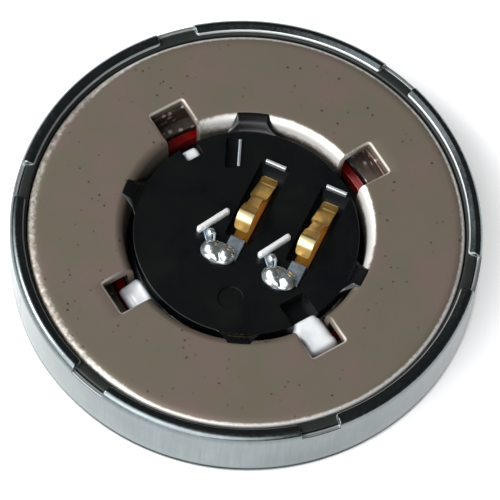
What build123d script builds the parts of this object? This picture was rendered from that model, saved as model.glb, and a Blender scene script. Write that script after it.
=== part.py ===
from build123d import *
import os
from math import asin, atan2, cos, degrees, pi, radians, sin, sqrt, tan

# Thirteen millimetre moving-coil earpiece speaker, lying on its front face with its two
# sprung contacts up. Millimetres. +Z points to the rear of the speaker, +X runs from the
# left contact to the right one, and the origin is the centre of the front face.

# Can: drawn from sheet, with its edge folded inwards in six tongues
can_sheet = 0.14
can_corner = 0.25
lip_reach = 0.39             # from the outside of the wall to the inner edge of a tongue
lip_fall = 0.05              # how much lower the inner edge of a tongue is
tongue_count = 6
tongue_gap = 1.08            # width of the gap between two tongues
tongue_gap_sink = 0.07       # how far the wall stops below the tongues in each gap
first_gap_angle = 12.6

# Sound holes in the front of the can, one in the middle and the others round it
sound_hole_radius = 0.42
sound_hole_count = 6
sound_hole_ring = 1.7

# Stack of pieces between the front and the tongues, from the front
cloth_sheet = 0.08
cloth_margin = 0.60          # between the edge of the cloth and the ring round it
front_ring_height = 0.16
film = 0.05
pole_height = 0.30
magnet_height = 0.68
plate_sheet = 0.26

# Radial build outwards from the magnet, with the plastic basket that holds the stack
magnet_width = 1.55
fit = 0.02                   # radial clearance of pieces that are glued or pressed in
basket_wall = 0.29
ledge_width = 0.35
plate_gap = 0.04             # between the edge of the rear plate and the basket
magnet_gap = 0.30            # between the magnet and the basket

# Voice coil and the ring-shaped magnetic gap that it moves in
coil_bore = 3.56
coil_wall = 0.24
coil_height = 0.41
coil_travel = 0.10           # each way
travel_clearance = 0.05      # left between the diaphragm and the pole ring
outer_air_gap = 0.09
inner_air_gap = 0.08
magnet_setback = 0.31        # of the magnet's bore behind the pole ring's bore

# Diaphragm: clamped rim, rising surround, flat seat for the coil and a shallow dome
seat_rise = 0.12
seat_margin = 0.10
dome_rise = 0.33
glue_line = 0.01

# Rear yoke: flat plate with a collar turned down at its hole and four corner windows
collar_sheet = 0.18
collar_flare = 0.10          # how much wider the collar is at the plate, but for its bend
flare_depth = 0.70
collar_stop = 0.06           # of the collar's end behind the front of the pole ring
collar_bend = 0.26           # radius of the bend from the plate into the collar
plate_edge_round = 0.07
window_count = 4
window_width = 1.02
window_margin = 0.09         # of the window's outer end beyond the magnet's bore
first_window_angle = 55.9

# Terminal block: black moulding in the plate's hole
block_recess = 0.30          # of its rear face below the plate
block_height = 0.48
block_gap = 0.18             # between the block and the straight part of the collar
block_edge_round = 0.05
ear_angles = (111.5, 185.0, 291.0, 359.5)
ear_widths = (0.78, 0.42, 0.56, 0.50)
ear_flare = 0.32             # how much wider an ear is where it leaves the block
ear_shoulder = 0.06          # of the step in an ear's slope below the plate
ear_tip_gap = 0.06           # between an ear's tip and the flat of the plate
relief_angle_index = (1, 3)  # the windows that the block is cut back for
relief_depths = (0.44, 0.76)
relief_widths = (0.53, 0.55)

# Contacts: one leaf spring, one lug and one solder joint each
contact_pitch = 1.84
contact_centre_x = 0.81
leaf_sheet = 0.07
leaf_width = 0.50
neck_width = 0.35
crest_width = 0.46
leaf_back_gap = 0.29         # between the leaf's back end and the pocket's far end
leaf_root_length = 0.22      # from the leaf's back end to the line that it bends about
crest_y = 0.13               # of the corner that the crest's bend rounds off
crest_rise = 0.41            # of that corner above the plate
crest_bend = 0.20
root_bend = 0.30
tip_y = -0.12
tip_sink = 0.06              # of the leaf's tip below the plate
weld_gap = 0.02

# Pocket that a leaf lies in, with a small ridge at its far end
pocket_floor = 0.13
pocket_side = 0.17           # clearance beside the leaf
pocket_margin = 0.05         # between the right pocket's far corner and the block's edge
riser_y = -0.31              # of the pocket's near end, where the lug's riser lies
ridge_width = 0.08
ridge_height = 0.07

# Lug: strip under the leaf, riser, solder pad and an upright blade
lug_sheet = 0.06
lug_width = 0.44
strip_overhang = 0.05        # of the strip beyond the leaf's back end
pad_radius = 0.34
pad_x = -0.32                # from the leaf's centre line
pad_y = -0.93
blade_length = 1.08
blade_sheet = 0.10
blade_angle = 60.6
blade_x = -0.83              # from the leaf's centre line
blade_y = -0.13
blade_sink = 0.03            # of its top below the plate
blade_root = 0.24            # depth of its root in the block
arm_width = 0.18
slot_clearance = 0.02

# Solder joint: two runs of solder that flowed together
solder_radius = 0.33
solder_height = 0.25
solder_spread = 0.15

# Ends of the coil wire: under the block, up through it and over to the solder
wire_diameter = 0.07
wire_hole_clearance = 0.02
wire_hole_x = -0.63          # from the leaf's centre line
wire_hole_y = -0.46
wire_bend = 0.08
wire_lift = 0.10             # of the wire above the pad
wire_window_index = (2, 3)   # the windows that the left and right wires pass

# Details of the block's rear face
slit_bearing = 123.8
slit_inset = 0.64            # of its middle from the block's edge
slit_angle = 111.0
slit_length = 0.92
slit_width = 0.34
slit_depth = 0.22
gate_bearing = 282.6
gate_inset = 1.05
gate_radius = 0.36
gate_depth = 0.05

# Heights worked out from the stack
film_z = can_sheet + front_ring_height
basket_z = film_z + film
seat_z = film_z + seat_rise
pole_z = seat_z + film + coil_travel + travel_clearance
magnet_z = pole_z + pole_height
plate_z = magnet_z + magnet_height
plate_top = plate_z + plate_sheet
can_height = plate_top + can_sheet
coil_z = seat_z + film + glue_line
coil_top = coil_z + coil_height
collar_z = pole_z + collar_stop
flare_z = plate_top - flare_depth
block_top = plate_top - block_recess
block_z = block_top - block_height
pocket_z = block_z + pocket_floor
leaf_root_z = pocket_z + lug_sheet + weld_gap + leaf_sheet / 2
pad_top = block_top + lug_sheet

# Radii worked out from the coil inwards and outwards
coil_radius = coil_bore + coil_wall
pole_bore = coil_radius + outer_air_gap
magnet_bore = pole_bore + magnet_setback
magnet_radius = magnet_bore + magnet_width
basket_bore = magnet_radius + magnet_gap
basket_radius = basket_bore + basket_wall
can_bore = basket_radius + fit
can_radius = can_bore + can_sheet
ledge_bore = basket_bore - ledge_width
cloth_radius = ledge_bore - cloth_margin
plate_radius = basket_bore - plate_gap
collar_radius = coil_bore - inner_air_gap
collar_bore = collar_radius - collar_sheet
hole_radius = collar_bore + collar_flare
collar_turn = pi / 2 - atan2(collar_flare, flare_depth)
bend_edge_radius = hole_radius + collar_bend * tan(collar_turn / 2)
ear_tip_radius = bend_edge_radius - ear_tip_gap
window_reach = magnet_bore + window_margin
block_radius = collar_bore - block_gap

# Places along the contact row and along each contact
contact_xs = {
    "left": contact_centre_x - contact_pitch / 2,
    "right": contact_centre_x + contact_pitch / 2,
}
pocket_edge_x = contact_xs["right"] + leaf_width / 2 + pocket_side
pocket_far_y = sqrt((block_radius - pocket_margin) ** 2 - pocket_edge_x ** 2)
leaf_back_y = pocket_far_y - leaf_back_gap
hinge_y = leaf_back_y - leaf_root_length
strip_back_y = leaf_back_y + strip_overhang
BASE = (Align.CENTER, Align.CENTER, Align.MIN)


def disc(radius, low, high):
    return Pos(0, 0, low) * Cylinder(radius, high - low, align=BASE)


def ring(radius, bore, low, high):
    return disc(radius, low, high) - disc(bore, low - 1, high + 1)


def block_of(x_size, y_size, low, high):
    return Pos(0, 0, low) * Box(x_size, y_size, high - low, align=BASE)


def spoke(angle, inner, outer, width, low, high):
    """A bar that runs outwards along a radius."""
    bar = Pos((inner + outer) / 2, 0, 0) * block_of(outer - inner, width, low, high)
    return Rot(0, 0, angle) * bar


def turned(points):
    """A solid of revolution about Z from (radius, height) points."""
    return revolve(Plane.XZ * make_face(Polyline(*points, close=True)), Axis.Z)


def window_angle(index):
    return first_window_angle + index * 360 / window_count


def can():
    body = disc(can_radius, 0, can_height) - disc(can_bore, can_sheet, plate_top)
    funnel = [
        (0, plate_top),
        (can_radius - lip_reach, plate_top),
        (can_radius - lip_reach, can_height - lip_fall),
        (can_bore, can_height),
        (can_bore, can_height + 1),
        (0, can_height + 1),
    ]
    body -= turned(funnel)
    front_edge = body.edges().group_by(Axis.Z)[0].sort_by(SortBy.RADIUS)[-1]
    body = fillet(front_edge, can_corner)
    rear_edge = body.edges().group_by(Axis.Z)[-1].sort_by(SortBy.RADIUS)[-1]
    body = fillet(rear_edge, can_sheet * 0.85)
    for index in range(tongue_count):
        angle = first_gap_angle + index * 360 / tongue_count
        low = plate_top - tongue_gap_sink
        body -= spoke(angle, plate_radius, can_radius + 1, tongue_gap, low, can_height + 1)
    body -= disc(sound_hole_radius, -1, can_sheet + 1)
    for index in range(sound_hole_count):
        place = Rot(0, 0, index * 360 / sound_hole_count) * Pos(sound_hole_ring, 0, 0)
        body -= place * disc(sound_hole_radius, -1, can_sheet + 1)
    return body


def dust_cloth():
    return disc(cloth_radius, can_sheet, can_sheet + cloth_sheet)


def front_ring():
    return ring(basket_radius, ledge_bore, can_sheet, film_z)


def diaphragm():
    """One pressed film: the upper outline is the lower one, one film thickness higher."""
    seat_inner = coil_bore - seat_margin
    seat_outer = coil_radius + seat_margin
    dome_radius = (seat_inner ** 2 + dome_rise ** 2) / (2 * dome_rise)
    half_angle = degrees(asin(seat_inner / dome_radius))
    outline = [
        Line((basket_radius, film_z), (ledge_bore, film_z)),
        Spline((ledge_bore, film_z), (seat_outer, seat_z), tangents=[(-1, 0), (-1, 0)]),
        Line((seat_outer, seat_z), (seat_inner, seat_z)),
        CenterArc((0, seat_z + dome_rise - dome_radius), dome_radius, 90 - half_angle, half_angle),
    ]
    upper = [Pos(0, film) * edge for edge in outline]
    ends = [
        Line(outline[0] @ 0, upper[0] @ 0),
        Line(outline[-1] @ 1, upper[-1] @ 1),
    ]
    profile = make_face(outline + upper + ends)
    return revolve(Plane.XZ * profile, Axis.Z)


def voice_coil():
    coil = ring(coil_radius, coil_bore, coil_z, coil_top)
    return fillet(coil.edges().filter_by(GeomType.CIRCLE), coil_wall / 6)


def basket():
    wall = ring(basket_radius, basket_bore, basket_z, plate_top)
    return wall + ring(basket_radius, ledge_bore, basket_z, pole_z)


def pole_ring():
    return ring(basket_bore - fit, pole_bore, pole_z, magnet_z)


def magnet():
    body = ring(magnet_radius, magnet_bore, magnet_z, plate_z)
    return chamfer(body.edges().filter_by(GeomType.CIRCLE), fit * 2)


def collar_points(inner_offset):
    """The inside of the collar from the plate down, moved inwards by an offset."""
    return [
        (hole_radius - inner_offset, plate_top),
        (collar_bore - inner_offset, flare_z),
        (collar_bore - inner_offset, collar_z),
    ]


def with_bend(body, radius):
    """A body with the collar's bend rounded at its hole in the plate's face."""
    rear_edges = body.edges().filter_by(GeomType.CIRCLE).group_by(Axis.Z)[-1]
    return fillet(rear_edges.sort_by(SortBy.RADIUS)[0], radius)


def rear_yoke():
    """Plate and collar, with the windows cut through both so that four flanges are left."""
    flare_at_plate = collar_flare * (plate_z - flare_z) / flare_depth
    outside = [
        (collar_radius, collar_z),
        (collar_radius, flare_z),
        (collar_radius + flare_at_plate, plate_z),
        (plate_radius, plate_z),
        (plate_radius, plate_top),
    ]
    body = with_bend(turned(collar_points(0) + outside), collar_bend)
    outer_edge = body.edges().filter_by(GeomType.CIRCLE).group_by(Axis.Z)[-1]
    body = fillet(outer_edge.sort_by(SortBy.RADIUS)[-1], plate_edge_round)
    for index in range(window_count):
        body -= spoke(window_angle(index), 0, window_reach, window_width, 0, can_height)
    return body


def ear(angle, width):
    """A locating ear, wider where it leaves the block, that hooks over the collar's bend."""
    root = block_radius * 0.93
    end = ear_tip_radius
    half_root = width / 2 + ear_flare
    outline = Polyline((root, -half_root), (hole_radius, -width / 2), (end, -width / 2),
                       (end, width / 2), (hole_radius, width / 2), (root, half_root), close=True)
    height = plate_top - block_z
    return Rot(0, 0, angle) * Pos(0, 0, block_z) * extrude(make_face(outline), height)


def ear_slope():
    """What the ears stay under: from the block's edge up to the plate's face."""
    return turned([(0, block_z), (0, block_top), (block_radius, block_top),
                   (collar_bore, plate_top - ear_shoulder), (ear_tip_radius, plate_top),
                   (ear_tip_radius, block_z)])


def hole_plug():
    """What fills the plate's hole and the collar, but for the fit between them."""
    rim = bend_edge_radius + fit
    shallow = plate_top + fit
    sleeve = turned(collar_points(fit) + [(rim, collar_z), (rim, plate_top)])
    sleeve = with_bend(sleeve, collar_bend)
    return disc(rim, collar_z, shallow) - sleeve


def leaf_pocket(x):
    width = leaf_width + 2 * pocket_side
    length = pocket_far_y - riser_y
    middle = (pocket_far_y + riser_y) / 2
    return Pos(x, middle, 0) * block_of(width, length, pocket_z, block_top + 1)


def polar_place(bearing, inset):
    """A place on the block at a bearing, an inset in from its edge."""
    reach = block_radius - inset
    return Pos(reach * cos(radians(bearing)), reach * sin(radians(bearing)), 0)


def blade_place(x):
    return Pos(x + blade_x, blade_y, 0) * Rot(0, 0, blade_angle)


def pocket_ridge(x):
    width = leaf_width + pocket_side
    place = Pos(x, pocket_far_y + ridge_width / 2, 0)
    return place * block_of(width, ridge_width, block_top - ridge_height, block_top + ridge_height)


def terminal_block():
    body = disc(block_radius, block_z, block_top)
    body = fillet(body.edges().group_by(Axis.Z)[-1], block_edge_round)
    for angle, width in zip(ear_angles, ear_widths):
        body += ear(angle, width) & ear_slope()
    body &= hole_plug()
    for index, depth, width in zip(relief_angle_index, relief_depths, relief_widths):
        inner = block_radius - depth
        body -= spoke(window_angle(index), inner, can_radius, width, 0, can_height)
    slit_place = polar_place(slit_bearing, slit_inset) * Rot(0, 0, slit_angle)
    body -= slit_place * block_of(slit_length, slit_width, block_top - slit_depth, can_height)
    fin = Pos(0, -(slit_width + ridge_width) / 2, 0)
    fin *= block_of(slit_length, ridge_width, block_top - ridge_height, block_top + ridge_height)
    body += slit_place * fin
    gate = disc(gate_radius, block_top - gate_depth, can_height)
    body -= polar_place(gate_bearing, gate_inset) * gate
    for x in contact_xs.values():
        body += pocket_ridge(x)
        body -= leaf_pocket(x)
        slot = block_of(blade_length + 2 * slot_clearance, blade_sheet + 2 * slot_clearance,
                        block_top - blade_root - slot_clearance, can_height)
        body -= blade_place(x) * slot
        wire_hole = disc(wire_diameter / 2 + wire_hole_clearance, 0, can_height)
        body -= Pos(x + wire_hole_x, wire_hole_y, 0) * wire_hole
    return body


def leaf_spring(x):
    """A leaf bent up from its root, over the crest and down to its tip."""
    side = FilletPolyline(
        (leaf_back_y, leaf_root_z),
        (hinge_y, leaf_root_z),
        (crest_y, plate_top + crest_rise),
        (tip_y, plate_top - tip_sink),
        radius=(root_bend, crest_bend),
    )
    ribbon = extrude(Plane.YZ * trace(side, leaf_sheet), leaf_width / 2, both=True)
    neck_start = crest_y + 0.33 * (hinge_y - crest_y)
    neck_end = crest_y + 0.50 * (hinge_y - crest_y)
    shoulder = crest_y + 0.62 * (hinge_y - crest_y)
    half = [
        (leaf_width / 2, leaf_back_y + leaf_sheet),
        (leaf_width / 2, shoulder),
        (neck_width / 2, neck_end),
        (neck_width / 2, neck_start),
        (crest_width / 2, neck_start - crest_bend / 2),
        (crest_width / 2, tip_y - leaf_sheet),
    ]
    mirrored = [(-across, along) for across, along in reversed(half)]
    plan = extrude(make_face(Polyline(*half, *mirrored, close=True)), can_height * 2)
    return Pos(x, 0, 0) * (ribbon & plan)


def solder_lug(x):
    """Strip under the leaf, riser at the pocket's end, pad, arm and upright blade."""
    side = Polyline(
        (strip_back_y, pocket_z),
        (riser_y, pocket_z),
        (riser_y, block_top),
        (pad_y, block_top),
        (pad_y, pad_top),
        (riser_y + lug_sheet, pad_top),
        (riser_y + lug_sheet, pocket_z + lug_sheet),
        (strip_back_y, pocket_z + lug_sheet),
        close=True,
    )
    strip = extrude(Plane.YZ * make_face(side), lug_width / 2, both=True)
    pad = Pos(pad_x, pad_y, 0) * disc(pad_radius, block_top, pad_top)
    blade = Pos(blade_x, blade_y, 0) * Rot(0, 0, blade_angle) * block_of(
        blade_length, blade_sheet, block_top - blade_root, plate_top - blade_sink)
    arm_end_x = blade_x - 0.25 * blade_length * cos(radians(blade_angle))
    arm_end_y = blade_y - 0.25 * blade_length * sin(radians(blade_angle))
    arm_line = Line((pad_x - pad_radius / 2, pad_y), (arm_end_x, arm_end_y))
    arm = Pos(0, 0, block_top) * extrude(trace(arm_line, arm_width), lug_sheet)
    return Pos(x, 0, 0) * (strip + pad + blade + arm)


def solder_joint(x):
    """Two domes of solder side by side on the pad."""
    dome_radius = (solder_radius ** 2 + solder_height ** 2) / (2 * solder_height)
    dome = Pos(0, 0, pad_top + solder_height - dome_radius) * Sphere(dome_radius)
    dome &= disc(solder_radius, pad_top, can_height * 2)
    left = Pos(pad_x - solder_spread, pad_y, 0) * dome
    right = Pos(pad_x + solder_spread, pad_y, 0) * dome
    return Pos(x, 0, 0) * (left + right)


def coil_lead(x, window_index):
    """Wire from the top of the coil, through a window, up through the block to the solder."""
    angle = radians(window_angle(window_index))
    coil_middle = coil_bore + coil_wall / 2
    start_z = coil_top + glue_line + wire_diameter / 2
    under_z = block_z - wire_diameter
    hole = (x + wire_hole_x, wire_hole_y)
    turn = block_radius - coil_wall
    points = [
        (coil_middle * cos(angle), coil_middle * sin(angle), start_z),
        (turn * cos(angle), turn * sin(angle), under_z),
        (hole[0], hole[1], under_z),
        (hole[0], hole[1], pad_top + wire_lift),
        (x + pad_x - solder_spread, pad_y, pad_top + wire_lift),
    ]
    path = FilletPolyline(*points, radius=wire_bend)
    section = Plane(origin=path @ 0, z_dir=path % 0) * Circle(wire_diameter / 2)
    return sweep(section, path)


def main():
    nodes = {
        "front_can": can(),
        "dust_cloth": dust_cloth(),
        "front_ring": front_ring(),
        "diaphragm": diaphragm(),
        "voice_coil": voice_coil(),
        "basket": basket(),
        "front_pole_ring": pole_ring(),
        "ring_magnet": magnet(),
        "rear_yoke": rear_yoke(),
        "terminal_block": terminal_block(),
    }
    for (side, x), window_index in zip(contact_xs.items(), wire_window_index):
        nodes["contact_spring_" + side] = leaf_spring(x)
        nodes["solder_lug_" + side] = solder_lug(x)
        nodes["solder_joint_" + side] = solder_joint(x)
        nodes["coil_lead_" + side] = coil_lead(x, window_index)
    os.makedirs("parts", exist_ok=True)
    for name, solid in nodes.items():
        export_step(solid, f"parts/{name}.step")


main()
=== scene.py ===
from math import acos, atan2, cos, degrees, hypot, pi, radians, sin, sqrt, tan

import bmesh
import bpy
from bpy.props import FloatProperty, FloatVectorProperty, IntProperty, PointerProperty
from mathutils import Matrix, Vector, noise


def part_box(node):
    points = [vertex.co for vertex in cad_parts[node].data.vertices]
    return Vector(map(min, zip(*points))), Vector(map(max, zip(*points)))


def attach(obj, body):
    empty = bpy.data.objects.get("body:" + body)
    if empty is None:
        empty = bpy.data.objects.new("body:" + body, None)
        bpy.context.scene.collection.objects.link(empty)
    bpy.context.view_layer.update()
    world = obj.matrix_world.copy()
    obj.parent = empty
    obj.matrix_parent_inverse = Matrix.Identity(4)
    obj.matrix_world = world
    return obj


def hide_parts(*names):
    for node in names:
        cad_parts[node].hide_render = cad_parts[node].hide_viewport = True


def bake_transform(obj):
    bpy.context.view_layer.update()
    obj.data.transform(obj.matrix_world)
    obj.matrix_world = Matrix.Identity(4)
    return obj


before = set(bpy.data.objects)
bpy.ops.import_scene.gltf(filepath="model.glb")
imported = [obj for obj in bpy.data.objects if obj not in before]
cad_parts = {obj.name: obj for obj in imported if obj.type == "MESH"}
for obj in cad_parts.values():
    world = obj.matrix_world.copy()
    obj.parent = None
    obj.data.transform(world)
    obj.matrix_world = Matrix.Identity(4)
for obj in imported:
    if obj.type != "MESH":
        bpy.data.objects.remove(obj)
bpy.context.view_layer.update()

bl_info = {
    "name": "Earpiece Speaker",
    "version": (1, 0, 0),
    "blender": (4, 5, 0),
    "location": "View3D > Sidebar > Earpiece",
    "description": "Builds the pieces and finishes of a small earpiece speaker",
    "category": "Add Mesh",
}

MM = 0.001
ROUND_COUNT = 288            # points round a turned piece


# ---------------------------------------------------------------- places from the frame

def reach(node):
    """Lowest and highest corner of a frame piece, in millimetres."""
    low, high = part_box(node)
    return low / MM, high / MM


PLATE_LOW, PLATE_HIGH = reach("rear_yoke")
FILM_LOW, FILM_HIGH = reach("diaphragm")
COIL_LOW, COIL_HIGH = reach("voice_coil")
BASKET_LOW, BASKET_HIGH = reach("basket")
POLE_LOW, POLE_HIGH = reach("front_pole_ring")
MAGNET_LOW, MAGNET_HIGH = reach("ring_magnet")
CLOTH_LOW, CLOTH_HIGH = reach("dust_cloth")
CLAMP_LOW, CLAMP_HIGH = reach("front_ring")

CAN_RADIUS = reach("front_can")[1].x
CAN_TOP = reach("front_can")[1].z
CAN_SHEET = CLOTH_LOW.z
PLATE_RADIUS = PLATE_HIGH.x
PLATE_TOP = PLATE_HIGH.z
PLATE_UNDER = MAGNET_HIGH.z
COLLAR_LOW = PLATE_LOW.z
COIL_RADIUS = COIL_HIGH.x
BLOCK_UNDER = reach("terminal_block")[0].z
CONTACTS = {}                # middle of each leaf, across
for side in ("left", "right"):
    low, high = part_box("contact_spring_" + side)
    CONTACTS[side] = (low.x + high.x) / 2 / MM

# Sizes in millimetres that the frame's boxes don't give
CAN_CORNER = 0.25            # radius of the can's drawn front corner
COIL_BORE = 3.56
POLE_BORE = 3.89
MAGNET_BORE = 4.20
BLOCK_TOP = 1.56             # face of the block, without its ears
BLOCK_RADIUS = 3.12          # without its ears
WINDOW_ANGLES = [55.9 + 90 * index for index in range(4)]
WINDOW_HALF = 0.51           # half a window's width
WINDOW_REACH = 4.29          # radius of a window's outer end
POCKET_FLOOR = 1.21          # of the pockets under the leaves
LUG_SHEET = 0.06
BLADE_PLACE = (-0.83, -0.13)  # these three are from the middle of a leaf
PAD_PLACE = (-0.32, -0.93)
WIRE_HOLE = (-0.63, -0.46)
BLADE_TURN = 60.6
RIDGE_Y = 2.235
SLIT_PLACE = (-1.38, 2.06)
SLIT_TURN = 111
GATE_PLACE = (0.45, -2.02)   # of the round mark that the moulding gate left
CLEAR_ABOVE = 2.5            # height at which a cutter has left every piece


# ---------------------------------------------------------------- outlines and skins

def arc(centre, radius, start, end, steps):
    """Points of an arc, from one angle in degrees to another."""
    angles = [radians(start + (end - start) * step / steps) for step in range(steps + 1)]
    return [(centre[0] + radius * cos(a), centre[1] + radius * sin(a)) for a in angles]


def rounded(corners, radii, steps=4, closed=True):
    """An outline in two dimensions with its corners rounded off."""
    if not isinstance(radii, (list, tuple)):
        radii = [radii] * len(corners)
    outline = []
    last = len(corners) - 1
    for index, radius in enumerate(radii):
        here = Vector(corners[index])
        if radius <= 0 or (not closed and index in (0, last)):
            outline.append(tuple(here))
            continue
        back = (Vector(corners[index - 1]) - here).normalized()
        ahead = (Vector(corners[(index + 1) % len(corners)]) - here).normalized()
        half = acos(max(-1, min(1, back.dot(ahead)))) / 2
        centre = here + (back + ahead).normalized() * (radius / sin(half))
        first = here + back * (radius / tan(half)) - centre
        end = here + ahead * (radius / tan(half)) - centre
        turn = atan2(first.x * end.y - first.y * end.x, first.dot(end))
        for step in range(steps + 1):
            spun = Matrix.Rotation(turn * step / steps, 2) @ first
            outline.append(tuple(centre + spun))
    return outline


def resampled(points, spacing):
    """The same open line with points no further apart than the spacing."""
    line = [Vector(points[0])]
    for start, end in zip(points, points[1:]):
        start, end = Vector(start), Vector(end)
        count = max(1, round((end - start).length / spacing))
        line += [start.lerp(end, step / count) for step in range(1, count + 1)]
    return line


def offset(outline, distance):
    """A closed outline that runs anticlockwise, moved outwards by one distance or by many."""
    count = len(outline)
    if not isinstance(distance, list):
        distance = [distance] * count
    moved = []
    for index in range(count):
        here = Vector(outline[index])
        back = (here - Vector(outline[index - 1])).normalized()
        ahead = (Vector(outline[(index + 1) % count]) - here).normalized()
        side = Vector((back.y + ahead.y, -back.x - ahead.x)).normalized()
        stretch = max(0.5, side.dot(Vector((ahead.y, -ahead.x))))
        moved.append(tuple(here + side * (distance[index] / stretch)))
    return moved


def skin(rings, closed=False, caps=False):
    """Points and faces of a skin over rings that have equally many points."""
    count = len(rings[0])
    points = [tuple(point) for ring in rings for point in ring]
    faces = []
    for low in range(len(rings) if closed else len(rings) - 1):
        high = (low + 1) % len(rings)
        for index in range(count):
            ahead = (index + 1) % count
            faces.append((low * count + index, low * count + ahead,
                          high * count + ahead, high * count + index))
    if caps:
        faces.append(tuple(range(count))[::-1])
        faces.append(tuple(range(len(points) - count, len(points))))
    return points, faces


def turned(outline, count=ROUND_COUNT, closed=True):
    """A skin turned about the upright axis from (radius, height) points."""
    angles = [2 * pi * index / count for index in range(count)]
    return skin([[(r * cos(a), r * sin(a), z) for a in angles] for r, z in outline], closed)


def prism(outline, low, high):
    """An upright prism over a closed outline."""
    return skin([[(x, y, z) for x, y in outline] for z in (low, high)], caps=True)


def pillow(outline, low, high, edge, steps=3):
    """A prism with rounded upper and lower edges."""
    rings = []
    for step in range(steps + 1):
        turn = radians(90 * step / steps)
        ring = offset(outline, -edge * (1 - sin(turn)))
        rings.append([(x, y, low + edge * (1 - cos(turn))) for x, y in ring])
    for step in range(steps + 1):
        turn = radians(90 * step / steps)
        ring = offset(outline, -edge * (1 - cos(turn)))
        rings.append([(x, y, high - edge * (1 - sin(turn))) for x, y in ring])
    rings.insert(0, [(x, y, low) for x, y in offset(outline, -edge * 1.3)])
    rings.append([(x, y, high) for x, y in offset(outline, -edge * 1.3)])
    return skin(rings, caps=True)


def placed(part, shift=(0, 0, 0), turn=0):
    """A skin's points turned about the upright axis and moved."""
    points, faces = part
    matrix = Matrix.Translation(shift) @ Matrix.Rotation(radians(turn), 4, "Z")
    return [tuple(matrix @ Vector(point)) for point in points], faces


def joined(*parts):
    """Several skins as one."""
    points, faces = [], []
    for more_points, more_faces in parts:
        start = len(points)
        points += more_points
        faces += [tuple(index + start for index in face) for face in more_faces]
    return points, faces


def tube(path, radius, sides=10):
    """A round wire along a path, with closed ends."""
    path = [Vector(point) for point in path]
    side = (path[1] - path[0]).orthogonal().normalized()
    rings = []
    for index, point in enumerate(path):
        before = path[max(0, index - 1)]
        after = path[min(len(path) - 1, index + 1)]
        along = (after - before).normalized()
        side = (side - along * side.dot(along)).normalized()
        other = along.cross(side)
        rings.append([
            point + (side * cos(2 * pi * k / sides) + other * sin(2 * pi * k / sides)) * radius
            for k in range(sides)])
    return skin(rings, caps=True)


def softened(path, passes=3):
    """An open line with its corners cut again and again, so that it runs smoothly."""
    path = [Vector(point) for point in path]
    for _ in range(passes):
        line = [path[0]]
        for start, end in zip(path, path[1:]):
            line += [start.lerp(end, 0.25), start.lerp(end, 0.75)]
        path = line + [path[-1]]
    return path


def smooth_step(value, start, end):
    """A share that rises smoothly from 0 at the start to 1 at the end."""
    share = max(0.0, min(1.0, (value - start) / (end - start)))
    return share * share * (3 - 2 * share)


def ripple(angle, rate, seed):
    """A slow unevenness round a turned piece, from about -1 to 1."""
    return noise.noise(Vector((cos(angle) * rate, sin(angle) * rate, seed)))


# ---------------------------------------------------------------- pieces

def clean(mesh, weld=True, drop=True):
    """Joins a mesh's doubled points, drops its faces without area and turns it outwards."""
    tidy = bmesh.new()
    tidy.from_mesh(mesh)
    if weld:
        bmesh.ops.remove_doubles(tidy, verts=tidy.verts, dist=0.0004 * MM)
    if weld and drop:
        bmesh.ops.dissolve_degenerate(tidy, edges=tidy.edges, dist=0.0001 * MM)
    bmesh.ops.recalc_face_normals(tidy, faces=tidy.faces)
    tidy.to_mesh(mesh)
    tidy.free()


def add_piece(name, part, material, body, replaces=(), weld=True, crease=34,
              finish_mark=None):
    """Makes an object from a skin in millimetres, finishes it and ties it to its body."""
    points, faces = part
    mesh = bpy.data.meshes.new(name)
    mesh.from_pydata([Vector(point) * MM for point in points], [], faces)
    # The mark holds sheared edges and plating, and on the leaf's crest and the plate painted
    # highlights.
    if finish_mark is not None:
        mark = mesh.attributes.new("finish_mark", "FLOAT", "POINT")
        mark.data.foreach_set("value", finish_mark)
    clean(mesh, weld)
    mesh.validate()
    piece = bpy.data.objects.new(name, mesh)
    bpy.context.scene.collection.objects.link(piece)
    shade(piece, crease)
    mesh.materials.append(material)
    if replaces:
        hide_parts(*replaces)
    if body is not None:
        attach(piece, body)
    return piece


def shade(piece, crease):
    """Smooth shading, with edges left sharp where they turn by more than the crease angle."""
    piece.data.shade_smooth()
    piece.data.set_sharp_from_angle(angle=radians(crease))


def carve(piece, cutter, operation="DIFFERENCE", crease=34):
    """Cuts a skin in millimetres out of a piece, or adds it."""
    points, faces = cutter
    mesh = bpy.data.meshes.new("cutter")
    mesh.from_pydata([Vector(point) * MM for point in points], [], faces)
    clean(mesh, drop=False)
    tool = bpy.data.objects.new("cutter", mesh)
    bpy.context.scene.collection.objects.link(tool)
    modifier = piece.modifiers.new("carve", "BOOLEAN")
    modifier.object = tool
    modifier.operation = operation
    modifier.solver = "EXACT"
    settle(piece)
    bpy.data.objects.remove(tool)
    bpy.data.meshes.remove(mesh)
    shade(piece, crease)


def settle(piece):
    """Applies a piece's modifiers to its mesh."""
    bpy.context.view_layer.update()
    shaped = piece.evaluated_get(bpy.context.evaluated_depsgraph_get())
    mesh = bpy.data.meshes.new_from_object(shaped)
    if not mesh.polygons:
        raise RuntimeError(piece.name + " was left empty by a cut")
    piece.modifiers.clear()
    piece.data = mesh


# ---------------------------------------------------------------- colours and nodes

def linear(code):
    """Linear colour from an sRGB hex value."""
    channels = [int(code[start:start + 2], 16) / 255 for start in (1, 3, 5)]
    return [c / 12.92 if c <= 0.04045 else ((c + 0.055) / 1.055) ** 2.4 for c in channels] + [1]


def per_mm(size):
    """Scale of a texture on metre coordinates whose features are this many millimetres."""
    return 1 / (size * MM)


def add_node(tree, kind, inputs=None, **settings):
    """Adds a node with its settings. An input is a value or the socket that feeds it."""
    new = tree.nodes.new(kind)
    for key, value in settings.items():
        setattr(new, key, value)
    for socket, value in (inputs or {}).items():
        if isinstance(value, bpy.types.NodeSocket):
            tree.links.new(value, new.inputs[socket])
        else:
            new.inputs[socket].default_value = value
    return new


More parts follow.
